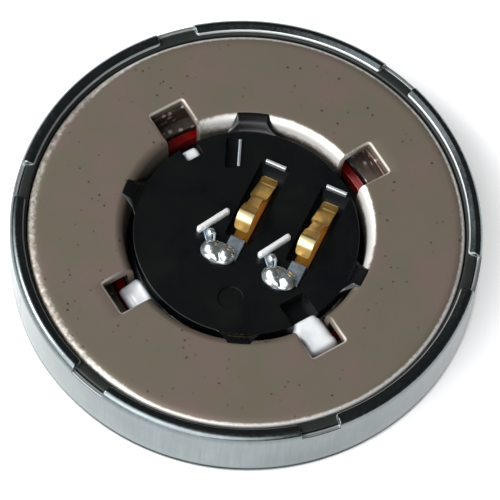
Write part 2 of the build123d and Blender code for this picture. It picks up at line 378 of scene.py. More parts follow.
def start_material(name):
    """A new material with an output, the piece's own coordinates and a surface shader."""
    material = bpy.data.materials.new(name)
    material.use_nodes = True
    tree = material.node_tree
    tree.nodes.clear()
    place = add_node(tree, "ShaderNodeTexCoord").outputs["Object"]
    surface = add_node(tree, "ShaderNodeBsdfPrincipled")
    add_node(tree, "ShaderNodeOutputMaterial", {"Surface": surface.outputs[0]})
    return material, tree, place, surface


def finish_surface(tree, surface, **inputs):
    """Sets or links the surface shader's sockets, named with _ for a space."""
    for key, value in inputs.items():
        socket = surface.inputs[key.replace("_", " ")]
        if isinstance(value, bpy.types.NodeSocket):
            tree.links.new(value, socket)
        else:
            socket.default_value = value


def radius_of(tree, place):
    """Distance of a place from the upright axis."""
    level = add_node(tree, "ShaderNodeVectorMath", {0: place, 1: (1, 1, 0)},
                     operation="MULTIPLY")
    length = add_node(tree, "ShaderNodeVectorMath", {0: level.outputs[0]}, operation="LENGTH")
    return length.outputs["Value"]


def drawn_nickel(colours):
    """Nickel-plated steel, deep drawn: a pale satin metal with faint marks along the draw,
    which blur what it mirrors into a cool grey. The front corner by the floor is painted
    dark as shade, and the sheared edges of the tongues are rougher and paler."""
    material, tree, place, surface = start_material("nickel_plated_steel_drawn")
    along = add_node(tree, "ShaderNodeMapping", {0: place, 3: (1, 1, 0.06)})
    marks = add_node(tree, "ShaderNodeTexNoise", {
        "Vector": along.outputs[0], "Scale": per_mm(0.09), "Detail": 4.0, "Roughness": 0.6})
    clouds = add_node(tree, "ShaderNodeTexNoise", {
        "Vector": place, "Scale": per_mm(1.1), "Detail": 3.0})
    shade_of = add_node(tree, "ShaderNodeMapRange", {
        0: marks.outputs["Fac"], 1: 0.35, 2: 0.65, 3: 0.25, 4: 0.75})
    blend = add_node(tree, "ShaderNodeMath", {
        0: shade_of.outputs[0], 1: clouds.outputs["Fac"]}, operation="MULTIPLY")
    tone = add_node(tree, "ShaderNodeMix", {
        0: blend.outputs[0], 6: colours.can_dark, 7: colours.can_pale}, data_type="RGBA")
    sheared = add_node(tree, "ShaderNodeAttribute", attribute_name="finish_mark").outputs["Fac"]
    height = add_node(tree, "ShaderNodeSeparateXYZ", {0: place}).outputs["Z"]
    # Painted shade: low on the front corner, by the floor, the colour is darkened towards a dark
    # tone.
    low = add_node(tree, "ShaderNodeMapRange", {
        0: height, 1: 0.19 * MM, 2: CAN_CORNER * MM, 3: 0.95, 4: 0.0})
    corner = add_node(tree, "ShaderNodeMapRange", {
        0: radius_of(tree, place), 1: (CAN_RADIUS - 0.22) * MM, 2: (CAN_RADIUS - 0.08) * MM,
        3: 0.0, 4: 1.0})
    painted_shade = add_node(tree, "ShaderNodeMath", {
        0: low.outputs[0], 1: corner.outputs[0]}, operation="MULTIPLY")
    shaded_tone = add_node(tree, "ShaderNodeMix", {
        0: painted_shade.outputs[0], 6: tone.outputs[2], 7: colours.can_corner_shade}, data_type="RGBA")
    bare = add_node(tree, "ShaderNodeMix", {
        0: sheared, 6: shaded_tone.outputs[2], 7: colours.can_sheared}, data_type="RGBA")
    rough = add_node(tree, "ShaderNodeMapRange", {
        0: marks.outputs["Fac"], 1: 0.3, 2: 0.7, 3: 0.15, 4: 0.27})
    coarse = add_node(tree, "ShaderNodeMath", {
        0: sheared, 1: 0.3, 2: rough.outputs[0]}, operation="MULTIPLY_ADD")
    metal = add_node(tree, "ShaderNodeMath", {0: sheared, 1: -0.6, 2: 1.0},
                     operation="MULTIPLY_ADD")
    bump = add_node(tree, "ShaderNodeBump", {
        "Height": marks.outputs["Fac"], "Strength": 0.25, "Distance": 0.002 * MM})
    finish_surface(tree, surface, Base_Color=bare.outputs[2], Metallic=metal.outputs[0],
                   Roughness=coarse.outputs[0], Normal=bump.outputs[0])
    return material


def dull_nickel(colours):
    """Nickel-plated steel, punched and barrel tumbled: a dull warm grey face with pinholes,
    pale edges partly burnished and partly a painted highlight, and bare edges at the windows."""
    material, tree, place, surface = start_material("nickel_plated_steel_tumbled")
    finish_mark = add_node(tree, "ShaderNodeAttribute", attribute_name="finish_mark")
    sheared = add_node(tree, "ShaderNodeAttribute", attribute_name="sheared")
    grain = add_node(tree, "ShaderNodeTexNoise", {
        "Vector": place, "Scale": per_mm(0.12), "Detail": 4.0, "Roughness": 0.7})
    patches = add_node(tree, "ShaderNodeTexNoise", {
        "Vector": place, "Scale": per_mm(1.6), "Detail": 2.0})
    hue = add_node(tree, "ShaderNodeMapRange", {
        0: patches.outputs["Fac"], 1: 0.38, 2: 0.62, 3: 0.0, 4: 1.0})
    face = add_node(tree, "ShaderNodeMix", {
        0: hue.outputs[0], 6: colours.plate_olive, 7: colours.plate_rose}, data_type="RGBA")
    pits = add_node(tree, "ShaderNodeTexVoronoi", {
        "Vector": place, "Scale": per_mm(0.24), "Randomness": 1.0})
    pit_mask = add_node(tree, "ShaderNodeMapRange", {
        0: pits.outputs["Distance"], 1: 0.10, 2: 0.20, 3: 1.0, 4: 0.0})
    thin = add_node(tree, "ShaderNodeTexNoise", {
        "Vector": place, "Scale": per_mm(0.9), "Detail": 1.0})
    thin_mask = add_node(tree, "ShaderNodeMapRange", {
        0: thin.outputs["Fac"], 1: 0.51, 2: 0.63, 3: 0.0, 4: 0.9})
    pit_share = add_node(tree, "ShaderNodeMath", {
        0: pit_mask.outputs[0], 1: thin_mask.outputs[0]}, operation="MULTIPLY")
    pitted = add_node(tree, "ShaderNodeMix", {
        0: pit_share.outputs[0], 6: face.outputs[2], 7: colours.plate_pit}, data_type="RGBA")
    grain_shift = add_node(tree, "ShaderNodeMath", {
        0: grain.outputs["Fac"], 1: 0.9, 2: -0.45}, operation="MULTIPLY_ADD")
    # The mark read here is burnish on the rim, with painted highlight on the bend and the left of
    # the rim; the pale edge tone shows both.
    wear_and_highlight = add_node(tree, "ShaderNodeMath", {
        0: finish_mark.outputs["Fac"], 1: grain_shift.outputs[0]}, operation="ADD")
    edge = add_node(tree, "ShaderNodeMapRange", {
        0: wear_and_highlight.outputs[0], 1: 0.25, 2: 0.75, 3: 0.0, 4: 1.0})
    tone = add_node(tree, "ShaderNodeMix", {
        0: edge.outputs[0], 6: pitted.outputs[2], 7: colours.plate_edge_and_highlight}, data_type="RGBA")
    bared = add_node(tree, "ShaderNodeMath", {
        0: sheared.outputs["Fac"], 1: edge.outputs[0]}, operation="MAXIMUM")
    bare = add_node(tree, "ShaderNodeMix", {
        0: sheared.outputs["Fac"], 6: tone.outputs[2], 7: colours.plate_sheared},
        data_type="RGBA")
    rough = add_node(tree, "ShaderNodeMapRange", {
        0: wear_and_highlight.outputs[0], 1: 0.2, 2: 0.9, 3: 0.50, 4: 0.36})
    metal = add_node(tree, "ShaderNodeMath", {
        0: bared.outputs[0], 1: -0.25, 2: 0.6}, operation="MULTIPLY_ADD")
    bump = add_node(tree, "ShaderNodeBump", {
        "Height": grain.outputs["Fac"], "Strength": 0.3, "Distance": 0.006 * MM})
    finish_surface(tree, surface, Base_Color=bare.outputs[2], Metallic=metal.outputs[0],
                   Roughness=rough.outputs[0], Normal=bump.outputs[0])
    return material


def moulded_black(colours):
    """Glass-filled liquid crystal polymer, moulded: near black with a slight sheen that
    wanders between blue and green."""
    material, tree, place, surface = start_material("liquid_crystal_polymer_moulded")
    flow = add_node(tree, "ShaderNodeTexNoise", {
        "Vector": place, "Scale": per_mm(1.2), "Detail": 3.0, "Distortion": 0.6})
    grit = add_node(tree, "ShaderNodeTexNoise", {
        "Vector": place, "Scale": per_mm(0.06), "Detail": 2.0})
    share = add_node(tree, "ShaderNodeMapRange", {
        0: flow.outputs["Fac"], 1: 0.35, 2: 0.65, 3: 0.0, 4: 1.0})
    tone = add_node(tree, "ShaderNodeMix", {
        0: share.outputs[0], 6: colours.block_blue, 7: colours.block_green}, data_type="RGBA")
    rough = add_node(tree, "ShaderNodeMapRange", {
        0: flow.outputs["Fac"], 1: 0.3, 2: 0.7, 3: 0.24, 4: 0.34})
    bump = add_node(tree, "ShaderNodeBump", {
        "Height": grit.outputs["Fac"], "Strength": 0.35, "Distance": 0.006 * MM})
    finish_surface(tree, surface, Base_Color=tone.outputs[2], Roughness=rough.outputs[0],
                   Normal=bump.outputs[0])
    return material


def moulded_grey(colours):
    """Glass-filled polyamide, moulded: a dark grey-green plastic with a matt skin."""
    material, tree, place, surface = start_material("glass_filled_polyamide_moulded")
    flow = add_node(tree, "ShaderNodeTexNoise", {
        "Vector": place, "Scale": per_mm(0.25), "Detail": 4.0})
    tone = add_node(tree, "ShaderNodeMix", {
        0: flow.outputs["Fac"], 6: colours.basket, 7: colours.basket_pale}, data_type="RGBA")
    bump = add_node(tree, "ShaderNodeBump", {
        "Height": flow.outputs["Fac"], "Strength": 0.3, "Distance": 0.01 * MM})
    finish_surface(tree, surface, Base_Color=tone.outputs[2], Roughness=0.5,
                   Normal=bump.outputs[0])
    return material


def gold_plate(colours):
    """Gold-plated beryllium copper, stamped: a warm satin metal, slightly cloudy. The crest,
    which rubs on its contact, is painted a pale cream as a highlight."""
    material, tree, place, surface = start_material("gold_plated_copper_stamped")
    clouds = add_node(tree, "ShaderNodeTexNoise", {
        "Vector": place, "Scale": per_mm(0.35), "Detail": 2.0})
    tone = add_node(tree, "ShaderNodeMix", {
        0: clouds.outputs["Fac"], 6: colours.gold_deep, 7: colours.gold_pale},
        data_type="RGBA")
    # Painted highlight: the crest's mark mixes in a pale cream and lowers the metal.
    painted_highlight = add_node(tree, "ShaderNodeAttribute", attribute_name="finish_mark")
    crest = add_node(tree, "ShaderNodeMix", {
        0: painted_highlight.outputs["Fac"], 6: tone.outputs[2], 7: colours.gold_crest_highlight},
        data_type="RGBA")
    metal = add_node(tree, "ShaderNodeMath", {
        0: painted_highlight.outputs["Fac"], 1: -0.45, 2: 0.9}, operation="MULTIPLY_ADD")
    finish_surface(tree, surface, Base_Color=crest.outputs[2], Metallic=metal.outputs[0],
                   Roughness=0.29)
    return material


def tin_plate(colours):
    """Tin-plated brass, stamped: a cool bluish silver with a soft matt skin and stains. The
    part under the leaf is gold plated, as the leaf is, and whatever stands more than about
    0.07 mm above the block's face, the upright blades above all, is painted white as a highlight."""
    material, tree, place, surface = start_material("tin_plated_brass_stamped")
    stains = add_node(tree, "ShaderNodeTexNoise", {
        "Vector": place, "Scale": per_mm(0.16), "Detail": 3.0, "Roughness": 0.6})
    tinned = add_node(tree, "ShaderNodeMix", {
        0: stains.outputs["Fac"], 6: colours.tin_dark, 7: colours.tin_pale}, data_type="RGBA")
    plating = add_node(tree, "ShaderNodeAttribute", attribute_name="finish_mark")
    height = add_node(tree, "ShaderNodeSeparateXYZ", {0: place}).outputs["Z"]
    # Painted highlight: above about 0.07 to 0.1 mm over the block's face the tin turns white and
    # less metallic.
    painted_highlight = add_node(tree, "ShaderNodeMapRange", {
        0: height, 1: (BLOCK_TOP + 0.065) * MM, 2: (BLOCK_TOP + 0.10) * MM, 3: 0.0, 4: 1.0})
    blade_highlighted = add_node(tree, "ShaderNodeMix", {
        0: painted_highlight.outputs[0], 6: tinned.outputs[2], 7: colours.tin_blade_highlight}, data_type="RGBA")
    tone = add_node(tree, "ShaderNodeMix", {
        0: plating.outputs["Fac"], 6: blade_highlighted.outputs[2], 7: colours.gold_deep},
        data_type="RGBA")
    metal = add_node(tree, "ShaderNodeMath", {
        0: painted_highlight.outputs[0], 1: -0.5, 2: 0.75}, operation="MULTIPLY_ADD")
    rough = add_node(tree, "ShaderNodeMapRange", {
        0: stains.outputs["Fac"], 1: 0.3, 2: 0.7, 3: 0.28, 4: 0.42})
    bump = add_node(tree, "ShaderNodeBump", {
        "Height": stains.outputs["Fac"], "Strength": 0.2, "Distance": 0.006 * MM})
    finish_surface(tree, surface, Base_Color=tone.outputs[2], Metallic=metal.outputs[0],
                   Roughness=rough.outputs[0], Normal=bump.outputs[0])
    return material


def solder_alloy(colours):
    """Tin-silver-copper solder, hand soldered: a very bright skin, frosted in patches where
    it froze first."""
    material, tree, place, surface = start_material("tin_silver_solder_reflowed")
    frost = add_node(tree, "ShaderNodeTexNoise", {
        "Vector": place, "Scale": per_mm(0.10), "Detail": 3.0, "Roughness": 0.6})
    tone = add_node(tree, "ShaderNodeMix", {
        0: frost.outputs["Fac"], 6: colours.solder_frosted, 7: colours.solder},
        data_type="RGBA")
    rough = add_node(tree, "ShaderNodeMapRange", {
        0: frost.outputs["Fac"], 1: 0.35, 2: 0.65, 3: 0.14, 4: 0.32})
    bump = add_node(tree, "ShaderNodeBump", {
        "Height": frost.outputs["Fac"], "Strength": 0.4, "Distance": 0.015 * MM})
    finish_surface(tree, surface, Base_Color=tone.outputs[2], Metallic=0.85,
                   Roughness=rough.outputs[0], Normal=bump.outputs[0])
    return material


def enamelled_copper(colours):
    """Copper wire in red enamel, wound and bonded: a deep glossy red whose turns each carry
    a fine highlight. Above the block the wire is stripped and tinned."""
    material, tree, place, surface = start_material("enamelled_copper_wire_wound")
    stain = add_node(tree, "ShaderNodeTexNoise", {
        "Vector": place, "Scale": per_mm(0.3), "Detail": 3.0})
    tone = add_node(tree, "ShaderNodeMix", {
        0: stain.outputs["Fac"], 6: colours.enamel_deep, 7: colours.enamel}, data_type="RGBA")
    height = add_node(tree, "ShaderNodeSeparateXYZ", {0: place}).outputs["Z"]
    tinned = add_node(tree, "ShaderNodeMapRange", {
        0: height, 1: (BLOCK_TOP - 0.02) * MM, 2: (BLOCK_TOP + 0.04) * MM, 3: 0.0, 4: 1.0})
    end = add_node(tree, "ShaderNodeMix", {
        0: tinned.outputs[0], 6: tone.outputs[2], 7: colours.tin_pale}, data_type="RGBA")
    finish_surface(tree, surface, Base_Color=end.outputs[2], Metallic=0.45, Roughness=0.3,
                   Coat_Weight=1.0, Coat_Roughness=0.08)
    return material


def flecked_metal(name, dark, pale, fleck):
    """Steel or sintered magnet under thin plating, pressed: brownish grey with pale flecks
    where the plating still shines."""
    material, tree, place, surface = start_material(name)
    grain = add_node(tree, "ShaderNodeTexNoise", {
        "Vector": place, "Scale": per_mm(0.22), "Detail": 4.0, "Roughness": 0.65})
    base = add_node(tree, "ShaderNodeMix", {
        0: grain.outputs["Fac"], 6: dark, 7: pale}, data_type="RGBA")
    spots = add_node(tree, "ShaderNodeTexVoronoi", {
        "Vector": place, "Scale": per_mm(0.24), "Randomness": 1.0})
    mask = add_node(tree, "ShaderNodeMapRange", {
        0: spots.outputs["Distance"], 1: 0.18, 2: 0.34, 3: 1.0, 4: 0.0})
    tone = add_node(tree, "ShaderNodeMix", {
        0: mask.outputs[0], 6: base.outputs[2], 7: fleck}, data_type="RGBA")
    bump = add_node(tree, "ShaderNodeBump", {
        "Height": grain.outputs["Fac"], "Strength": 0.5, "Distance": 0.02 * MM})
    finish_surface(tree, surface, Base_Color=tone.outputs[2], Metallic=0.7, Roughness=0.4,
                   Normal=bump.outputs[0])
    return material


def pearl_film(colours):
    """Polyester film, thermoformed: a thin milky dome with a bright silky gloss. Outside the
    dome the film is coloured dark."""
    material, tree, place, surface = start_material("polyester_film_thermoformed")
    clouds = add_node(tree, "ShaderNodeTexNoise", {
        "Vector": place, "Scale": per_mm(0.6), "Detail": 2.0})
    tone = add_node(tree, "ShaderNodeMix", {
        0: clouds.outputs["Fac"], 6: colours.film_cloudy, 7: colours.film}, data_type="RGBA")
    outside = add_node(tree, "ShaderNodeMapRange", {
        0: radius_of(tree, place), 1: 3.02 * MM, 2: 3.08 * MM, 3: 0.0, 4: 1.0})
    outside_toned = add_node(tree, "ShaderNodeMix", {
        0: outside.outputs[0], 6: tone.outputs[2], 7: colours.film_outside_dome}, data_type="RGBA")
    finish_surface(tree, surface, Base_Color=outside_toned.outputs[2], Roughness=0.24,
                   Specular_IOR_Level=0.7)
    return material


def white_glue(colours):
    """Acrylic adhesive, dispensed and cured: an opaque white dab with a smooth wet gloss."""
    material, tree, place, surface = start_material("acrylic_adhesive_cured")
    cloud = add_node(tree, "ShaderNodeTexNoise", {
        "Vector": place, "Scale": per_mm(0.4), "Detail": 2.0})
    tone = add_node(tree, "ShaderNodeMix", {
        0: cloud.outputs["Fac"], 6: colours.glue_cloudy, 7: colours.glue}, data_type="RGBA")
    finish_surface(tree, surface, Base_Color=tone.outputs[2], Roughness=0.22)
    return material


def woven_cloth(colours):
    """Polyester mesh, plain woven: black threads that cross over and under, drawn at 0.16 mm
    instead of about 0.05 mm so that they can be seen."""
    material, tree, place, surface = start_material("polyester_mesh_woven")
    spacing = {"Vector": place, "Scale": per_mm(0.16) / (2 * pi), "Distortion": 0.0}
    warp = add_node(tree, "ShaderNodeTexWave", spacing, bands_direction="X")
    weft = add_node(tree, "ShaderNodeTexWave", spacing, bands_direction="Y")
    over = add_node(tree, "ShaderNodeMath", {
        0: warp.outputs["Fac"], 1: weft.outputs["Fac"]}, operation="MAXIMUM")
    tone = add_node(tree, "ShaderNodeMix", {
        0: over.outputs[0], 6: colours.cloth_gap, 7: colours.cloth}, data_type="RGBA")
    bump = add_node(tree, "ShaderNodeBump", {
        "Height": over.outputs[0], "Strength": 0.8, "Distance": 0.03 * MM})
    finish_surface(tree, surface, Base_Color=tone.outputs[2], Roughness=0.8,
                   Sheen_Weight=0.2, Normal=bump.outputs[0])
    return material


def bench_paint(stage):
    """White lacquered board, sprayed: a plain matt floor that takes soft shadows. What the
    lens and mirrors see of it is lifted a little, so that it stays white, except in the
    narrow crevice under the rounded corner of the can, where it is painted dark as shade."""
    material, tree, place, surface = start_material("white_board_lacquered")
    tooth = add_node(tree, "ShaderNodeTexNoise", {
        "Vector": place, "Scale": per_mm(0.5), "Detail": 2.0})
    tone = add_node(tree, "ShaderNodeMix", {
        0: tooth.outputs["Fac"], 6: stage.floor_colour, 7: stage.floor_pale},
        data_type="RGBA")
    path = add_node(tree, "ShaderNodeLightPath")
    seen = add_node(tree, "ShaderNodeMath", {
        0: path.outputs["Is Camera Ray"], 1: path.outputs["Is Glossy Ray"]}, operation="ADD")
    seen = add_node(tree, "ShaderNodeMath", {
        0: seen.outputs[0], 1: path.outputs["Is Transmission Ray"]}, operation="ADD")
    # Painted shade: ambient occlusion darkens the floor's colour towards the crevice tone and takes
    # away its lift under the can's corner.
    crevice = add_node(tree, "ShaderNodeAmbientOcclusion", {"Distance": 0.5 * MM})
    bared = add_node(tree, "ShaderNodeMapRange", {
        0: crevice.outputs["AO"], 1: 0.40, 2: 0.52, 3: 0.0, 4: 1.0})
    lift = add_node(tree, "ShaderNodeMath", {
        0: bared.outputs[0], 1: stage.floor_lift}, operation="MULTIPLY")
    lift = add_node(tree, "ShaderNodeMath", {
        0: seen.outputs[0], 1: lift.outputs[0]}, operation="MULTIPLY")
    ground = add_node(tree, "ShaderNodeMix", {
        0: bared.outputs[0], 6: stage.floor_crevice_shade, 7: tone.outputs[2]}, data_type="RGBA")
    finish_surface(tree, surface, Base_Color=ground.outputs[2], Roughness=0.9,
                   Specular_IOR_Level=0.0, Emission_Color=stage.floor_pale,
                   Emission_Strength=lift.outputs[0])
    return material


# ---------------------------------------------------------------- settings

def length_setting(name, description, default, low, high):
    """A length that a user can change, given in millimetres."""
    return FloatProperty(name=name, description=description, default=default * MM,
                         min=low * MM, max=high * MM, unit="LENGTH", precision=5)


def angle_setting(name, description, default):
    """An angle that a user can change, given in degrees."""
    return FloatProperty(name=name, description=description, default=radians(default),
                         subtype="ANGLE")


def colour_setting(name, description, code):
    """A colour that a user can change, given as an sRGB hex value."""
    return FloatVectorProperty(name=name, description=description, default=linear(code),
                               size=4, min=0, max=1, subtype="COLOR")


class CanSettings(bpy.types.PropertyGroup):
    tongue_gap: length_setting("Tongue gap", "Width of the gap between two tongues", 1.08, 0.2, 3)
    tongue_reach: length_setting(
        "Tongue reach", "From the can's wall to the tip of a tongue", 0.39, 0.2, 1)
    tongue_fall: length_setting(
        "Tongue fall", "How much lower a tongue's tip is than its root", 0.05, 0, 0.1)
    tongue_count: IntProperty(
        name="Tongues", description="Number of tongues folded over the plate",
        default=6, min=2, max=12)
    hole_radius: length_setting(
        "Sound hole radius", "Radius of each hole in the front", 0.42, 0.1, 0.8)
    hole_ring: length_setting(
        "Sound hole ring", "Radius of the ring that the outer holes lie on", 1.7, 1, 4)


class PlateSettings(bpy.types.PropertyGroup):
    hole_radius: length_setting(
        "Hole radius", "Radius at the plate's face, but for the bend", 3.40, 3, 4)
    collar_bore: length_setting(
        "Collar bore", "Inner radius of the straight part of the collar", 3.30, 3, 3.5)
    flare_depth: length_setting(
        "Flare depth", "Depth at which the collar becomes straight", 0.70, 0.3, 1)
    hole_round: length_setting(
        "Hole rounding", "Radius of the bend from the plate into the collar", 0.26, 0.05, 0.5)
    window_round: length_setting(
        "Window rounding", "Radius of the windows' upper edges", 0.075, 0.005, 0.1)
    edge_round: length_setting("Edge roll-off", "Width of the rounded outer edge", 0.28, 0.02, 0.3)


class ContactSettings(bpy.types.PropertyGroup):
    leaf_width: length_setting("Leaf width", "Width of the leaf at its root", 0.50, 0.2, 0.8)
    neck_width: length_setting("Neck width", "Width of the leaf's narrow part", 0.35, 0.1, 0.8)
    crest_width: length_setting("Crest width", "Width of the leaf at its crest", 0.46, 0.1, 0.8)
    blade_length: length_setting(
        "Blade length", "Length of each lug's upright blade", 1.08, 0.4, 1.4)


class FinishColours(bpy.types.PropertyGroup):
    can_dark: colour_setting("Can, dark", "Darker tone of the can's plating", "#6E7678")
    can_pale: colour_setting("Can, pale", "Paler tone of the can's plating", "#959C9E")
    # Painted shade for the can's front corner by the floor.
    can_corner_shade: colour_setting("Can, tarnish", "Dark tone of the can's front corner", "#34413F")
    can_sheared: colour_setting(
        "Can, sheared", "Pale tone of the tongues' sheared edges", "#E9EDEC")
    plate_olive: colour_setting("Plate, olive", "Greener tone of the dull plate", "#847C6B")
    plate_rose: colour_setting("Plate, rose", "Redder tone of the dull plate", "#8B7B71")
    plate_pit: colour_setting("Plate, pinholes", "Colour of the pinholes in the plating", "#3F3A35")
    # Pale edge tone: burnish, with painted highlight on the bend and the left rim.
    plate_edge_and_highlight: colour_setting("Plate, edges", "Burnished edges of the plate", "#F3EFEA")
    plate_sheared: colour_setting(
        "Plate, sheared edges", "Bare edges of the plate's windows", "#C6BEB6")
    block_blue: colour_setting("Block, blue", "Bluer tone of the black moulding", "#07090D")
    block_green: colour_setting("Block, green", "Greener tone of the black moulding", "#080C0A")
    basket: colour_setting("Basket", "Colour of the plastic basket", "#141816")
    basket_pale: colour_setting("Basket, pale", "Paler tone of the plastic basket", "#1F2623")
    gold_deep: colour_setting("Gold, deep", "Deeper tone of the gold plating", "#C98F3A")
    gold_pale: colour_setting("Gold, pale", "Paler tone of the gold plating", "#F7CF80")
    # Painted highlight on the leaf's crest.
    gold_crest_highlight: colour_setting("Gold, rubbed", "Pale tone of the leaf's polished crest", "#FFF0B8")
    tin_dark: colour_setting("Tin, dark", "Darker tone of the tinned lugs", "#74889A")
    tin_pale: colour_setting("Tin, pale", "Paler tone of the tinned lugs", "#CAD6DD")
    # Painted highlight on the upper blades.
    tin_blade_highlight: colour_setting("Tin, clean", "White tone of the lugs' blades", "#FFFFFF")
    solder: colour_setting("Solder", "Colour of the solder", "#E6EBEA")
    solder_frosted: colour_setting("Solder, frosted", "Greyer tone of the solder", "#AEB9B8")
    enamel: colour_setting("Enamel", "Colour of the coil's enamel", "#B80A10")
    enamel_deep: colour_setting("Enamel, deep", "Darker tone of the coil's enamel", "#780408")
    film: colour_setting("Film", "Colour of the diaphragm", "#F1F3F6")
    film_cloudy: colour_setting("Film, cloudy", "Greyer tone of the diaphragm", "#C9CFD6")
    film_outside_dome: colour_setting(
        "Film, smoked", "Colour of the diaphragm outside its dome", "#17191B")
    glue: colour_setting("Glue", "Colour of the glue on the coil", "#FFFFFF")
    glue_cloudy: colour_setting("Glue, cloudy", "Greyer tone of the glue", "#DDE3E8")
    cloth: colour_setting("Cloth", "Colour of the dust cloth's threads", "#2A2C2F")
    cloth_gap: colour_setting("Cloth, gaps", "Colour between the dust cloth's threads", "#08090A")
    pole_dark: colour_setting("Pole ring, dark", "Darker tone of the pole ring", "#44322A")
    pole_pale: colour_setting("Pole ring, pale", "Paler tone of the pole ring", "#9A8D82")
    pole_fleck: colour_setting("Pole ring, flecks", "Flecks on the pole ring", "#E6DED6")
    magnet_dark: colour_setting("Magnet, dark", "Darker tone of the magnet", "#301E18")
    magnet_pale: colour_setting("Magnet, pale", "Paler tone of the magnet", "#7A675C")
    magnet_fleck: colour_setting("Magnet, flecks", "Flecks on the magnet", "#CFC6BE")


class StageSettings(bpy.types.PropertyGroup):
    floor_colour: colour_setting("Floor", "Colour of the floor", "#F4F6F6")
    floor_pale: colour_setting("Floor, pale", "Paler tone of the floor", "#FFFFFF")
    # Painted shade for the floor under the can's corner.
    floor_crevice_shade: colour_setting(
        "Floor, crevice", "Tone of the floor under the can's corner", "#34484C")
    room_tint: colour_setting("Room", "Colour of the room's light", "#F6F8FA")
    floor_lift: FloatProperty(
        name="Floor lift", description="Extra brightness of the floor where it is seen",
        default=0.50, min=0, max=1, subtype="FACTOR")
    camera_turn: angle_setting("Camera turn", "How far round the camera stands", 20)
    camera_rise: angle_setting("Camera rise", "Height of the camera as an angle", 63.25)
    camera_roll: angle_setting("Camera roll", "Tilt of the camera about its own line of sight", -5)
    camera_distance: FloatProperty(
        name="Camera distance", description="Distance from the camera to the speaker",
        default=130 * MM, min=20 * MM, max=2, unit="LENGTH")
    key_power: FloatProperty(
        name="Key light", description="Power of the main lamp",
        default=0.29, min=0, max=10, unit="POWER")
    key_turn: angle_setting("Key turn", "Bearing of the main lamp, from the camera's", -95)
    key_rise: angle_setting("Key rise", "Height of the main lamp as an angle", 46)
    box_turn: angle_setting("Soft box turn", "Bearing of the soft box, from the camera's", -75)
    box_rise: angle_setting("Soft box rise", "Height of the soft box as an angle", 44)
    box_level: FloatProperty(
        name="Soft box level", description="Brightness of the wide soft box overhead",
        default=2.1, min=0, max=10)
    corner_turn: angle_setting("Corner turn", "Bearing of the low light, from the camera's", -22)
    corner_rise: angle_setting("Corner rise", "Height of the low light as an angle", 35)
    corner_level: FloatProperty(
        name="Corner level", description="Brightness of the low light",
        default=3.0, min=0, max=10)
    room_level: FloatProperty(
        name="Room level", description="Brightness of the dim room around",
        default=0.05, min=0, max=2)


# ---------------------------------------------------------------- can

def tongue_profile(reach_share, fall):
    """The can's edge where a tongue is folded over, from the outside to the inside."""
    tip = CAN_RADIUS - bpy.context.scene.earpiece_can.tongue_reach / MM
    bore = CAN_RADIUS - CAN_SHEET
    under = PLATE_TOP + 0.006
    bend, lip = 0.20, 0.07
    points = arc((CAN_RADIUS - bend, CAN_TOP - bend), bend, 0, 90, 7)
    start = CAN_RADIUS - bend
    points += [(start - (start - tip) * t, CAN_TOP - fall * t) for t in (0.15, 0.35, 0.55, 0.8)]
    points += arc((tip + lip, CAN_TOP - fall - 0.066), lip, 72, 180, 3)
    points += [(tip, under + 0.02), (tip + 0.02, under), (bore - 0.02, under)]
    points += [(bore, under - 0.02)]
    return [(bore - (bore - r) * reach_share if r < bore else r, z) for r, z in points]


def gap_profile():
    """The can's edge in a gap between two tongues, with as many points as a tongue's."""
    top = PLATE_TOP - 0.07
    bore = CAN_RADIUS - CAN_SHEET
    edge = 0.04
    points = arc((CAN_RADIUS - edge, top - edge), edge, 0, 90, 7)
    points += [(CAN_RADIUS - 0.05 - 0.006 * k, top) for k in range(8)]
    points += [(bore + 0.025, top - 0.002), (bore + 0.015, top - 0.005)]
    points += [(bore + 0.005, top - 0.015), (bore, top - 0.03)]
    return points


def rim_columns(settings):
    """Places round the rim: angle, share of a tongue, and share of its reach."""
    columns = []
    first_gap = 12.6         # bearing of the middle of a gap
    sector = 360 / settings.tongue_count
    half_gap = degrees(settings.tongue_gap / MM / 2 / CAN_RADIUS)
    corner, near_end = 0.11, 0.12
    full = settings.tongue_reach / MM - CAN_SHEET
    ends = ((0.0, 0.0), (0.008, 0.80), (0.018, 0.93), (0.032, 0.985))
    for index in range(settings.tongue_count):
        middle = first_gap + index * sector
        columns += [(middle - half_gap + 2 * half_gap * k / 6, 0.0, 1.0) for k in range(1, 6)]
        start = middle + half_gap
        length = (sector - 2 * half_gap) * radians(CAN_RADIUS)
        steps = [shift for shift, _ in ends] + [0.05, 0.07, 0.09, near_end]
        steps += [near_end + (length - 2 * near_end) * k / 44 for k in range(1, 44)]
        steps += [length - shift for shift in reversed(steps[:8])]
        for shift in steps:
            near = min(shift, length - shift)
            share = 1.0
            for limit, value in ends:
                if abs(near - limit) < 1e-6:
                    share = value
            bite = corner - sqrt(max(0.0, corner ** 2 - max(0.0, corner - near) ** 2))
            columns.append((start + degrees(shift / CAN_RADIUS), share, 1 - bite / full))
    return columns


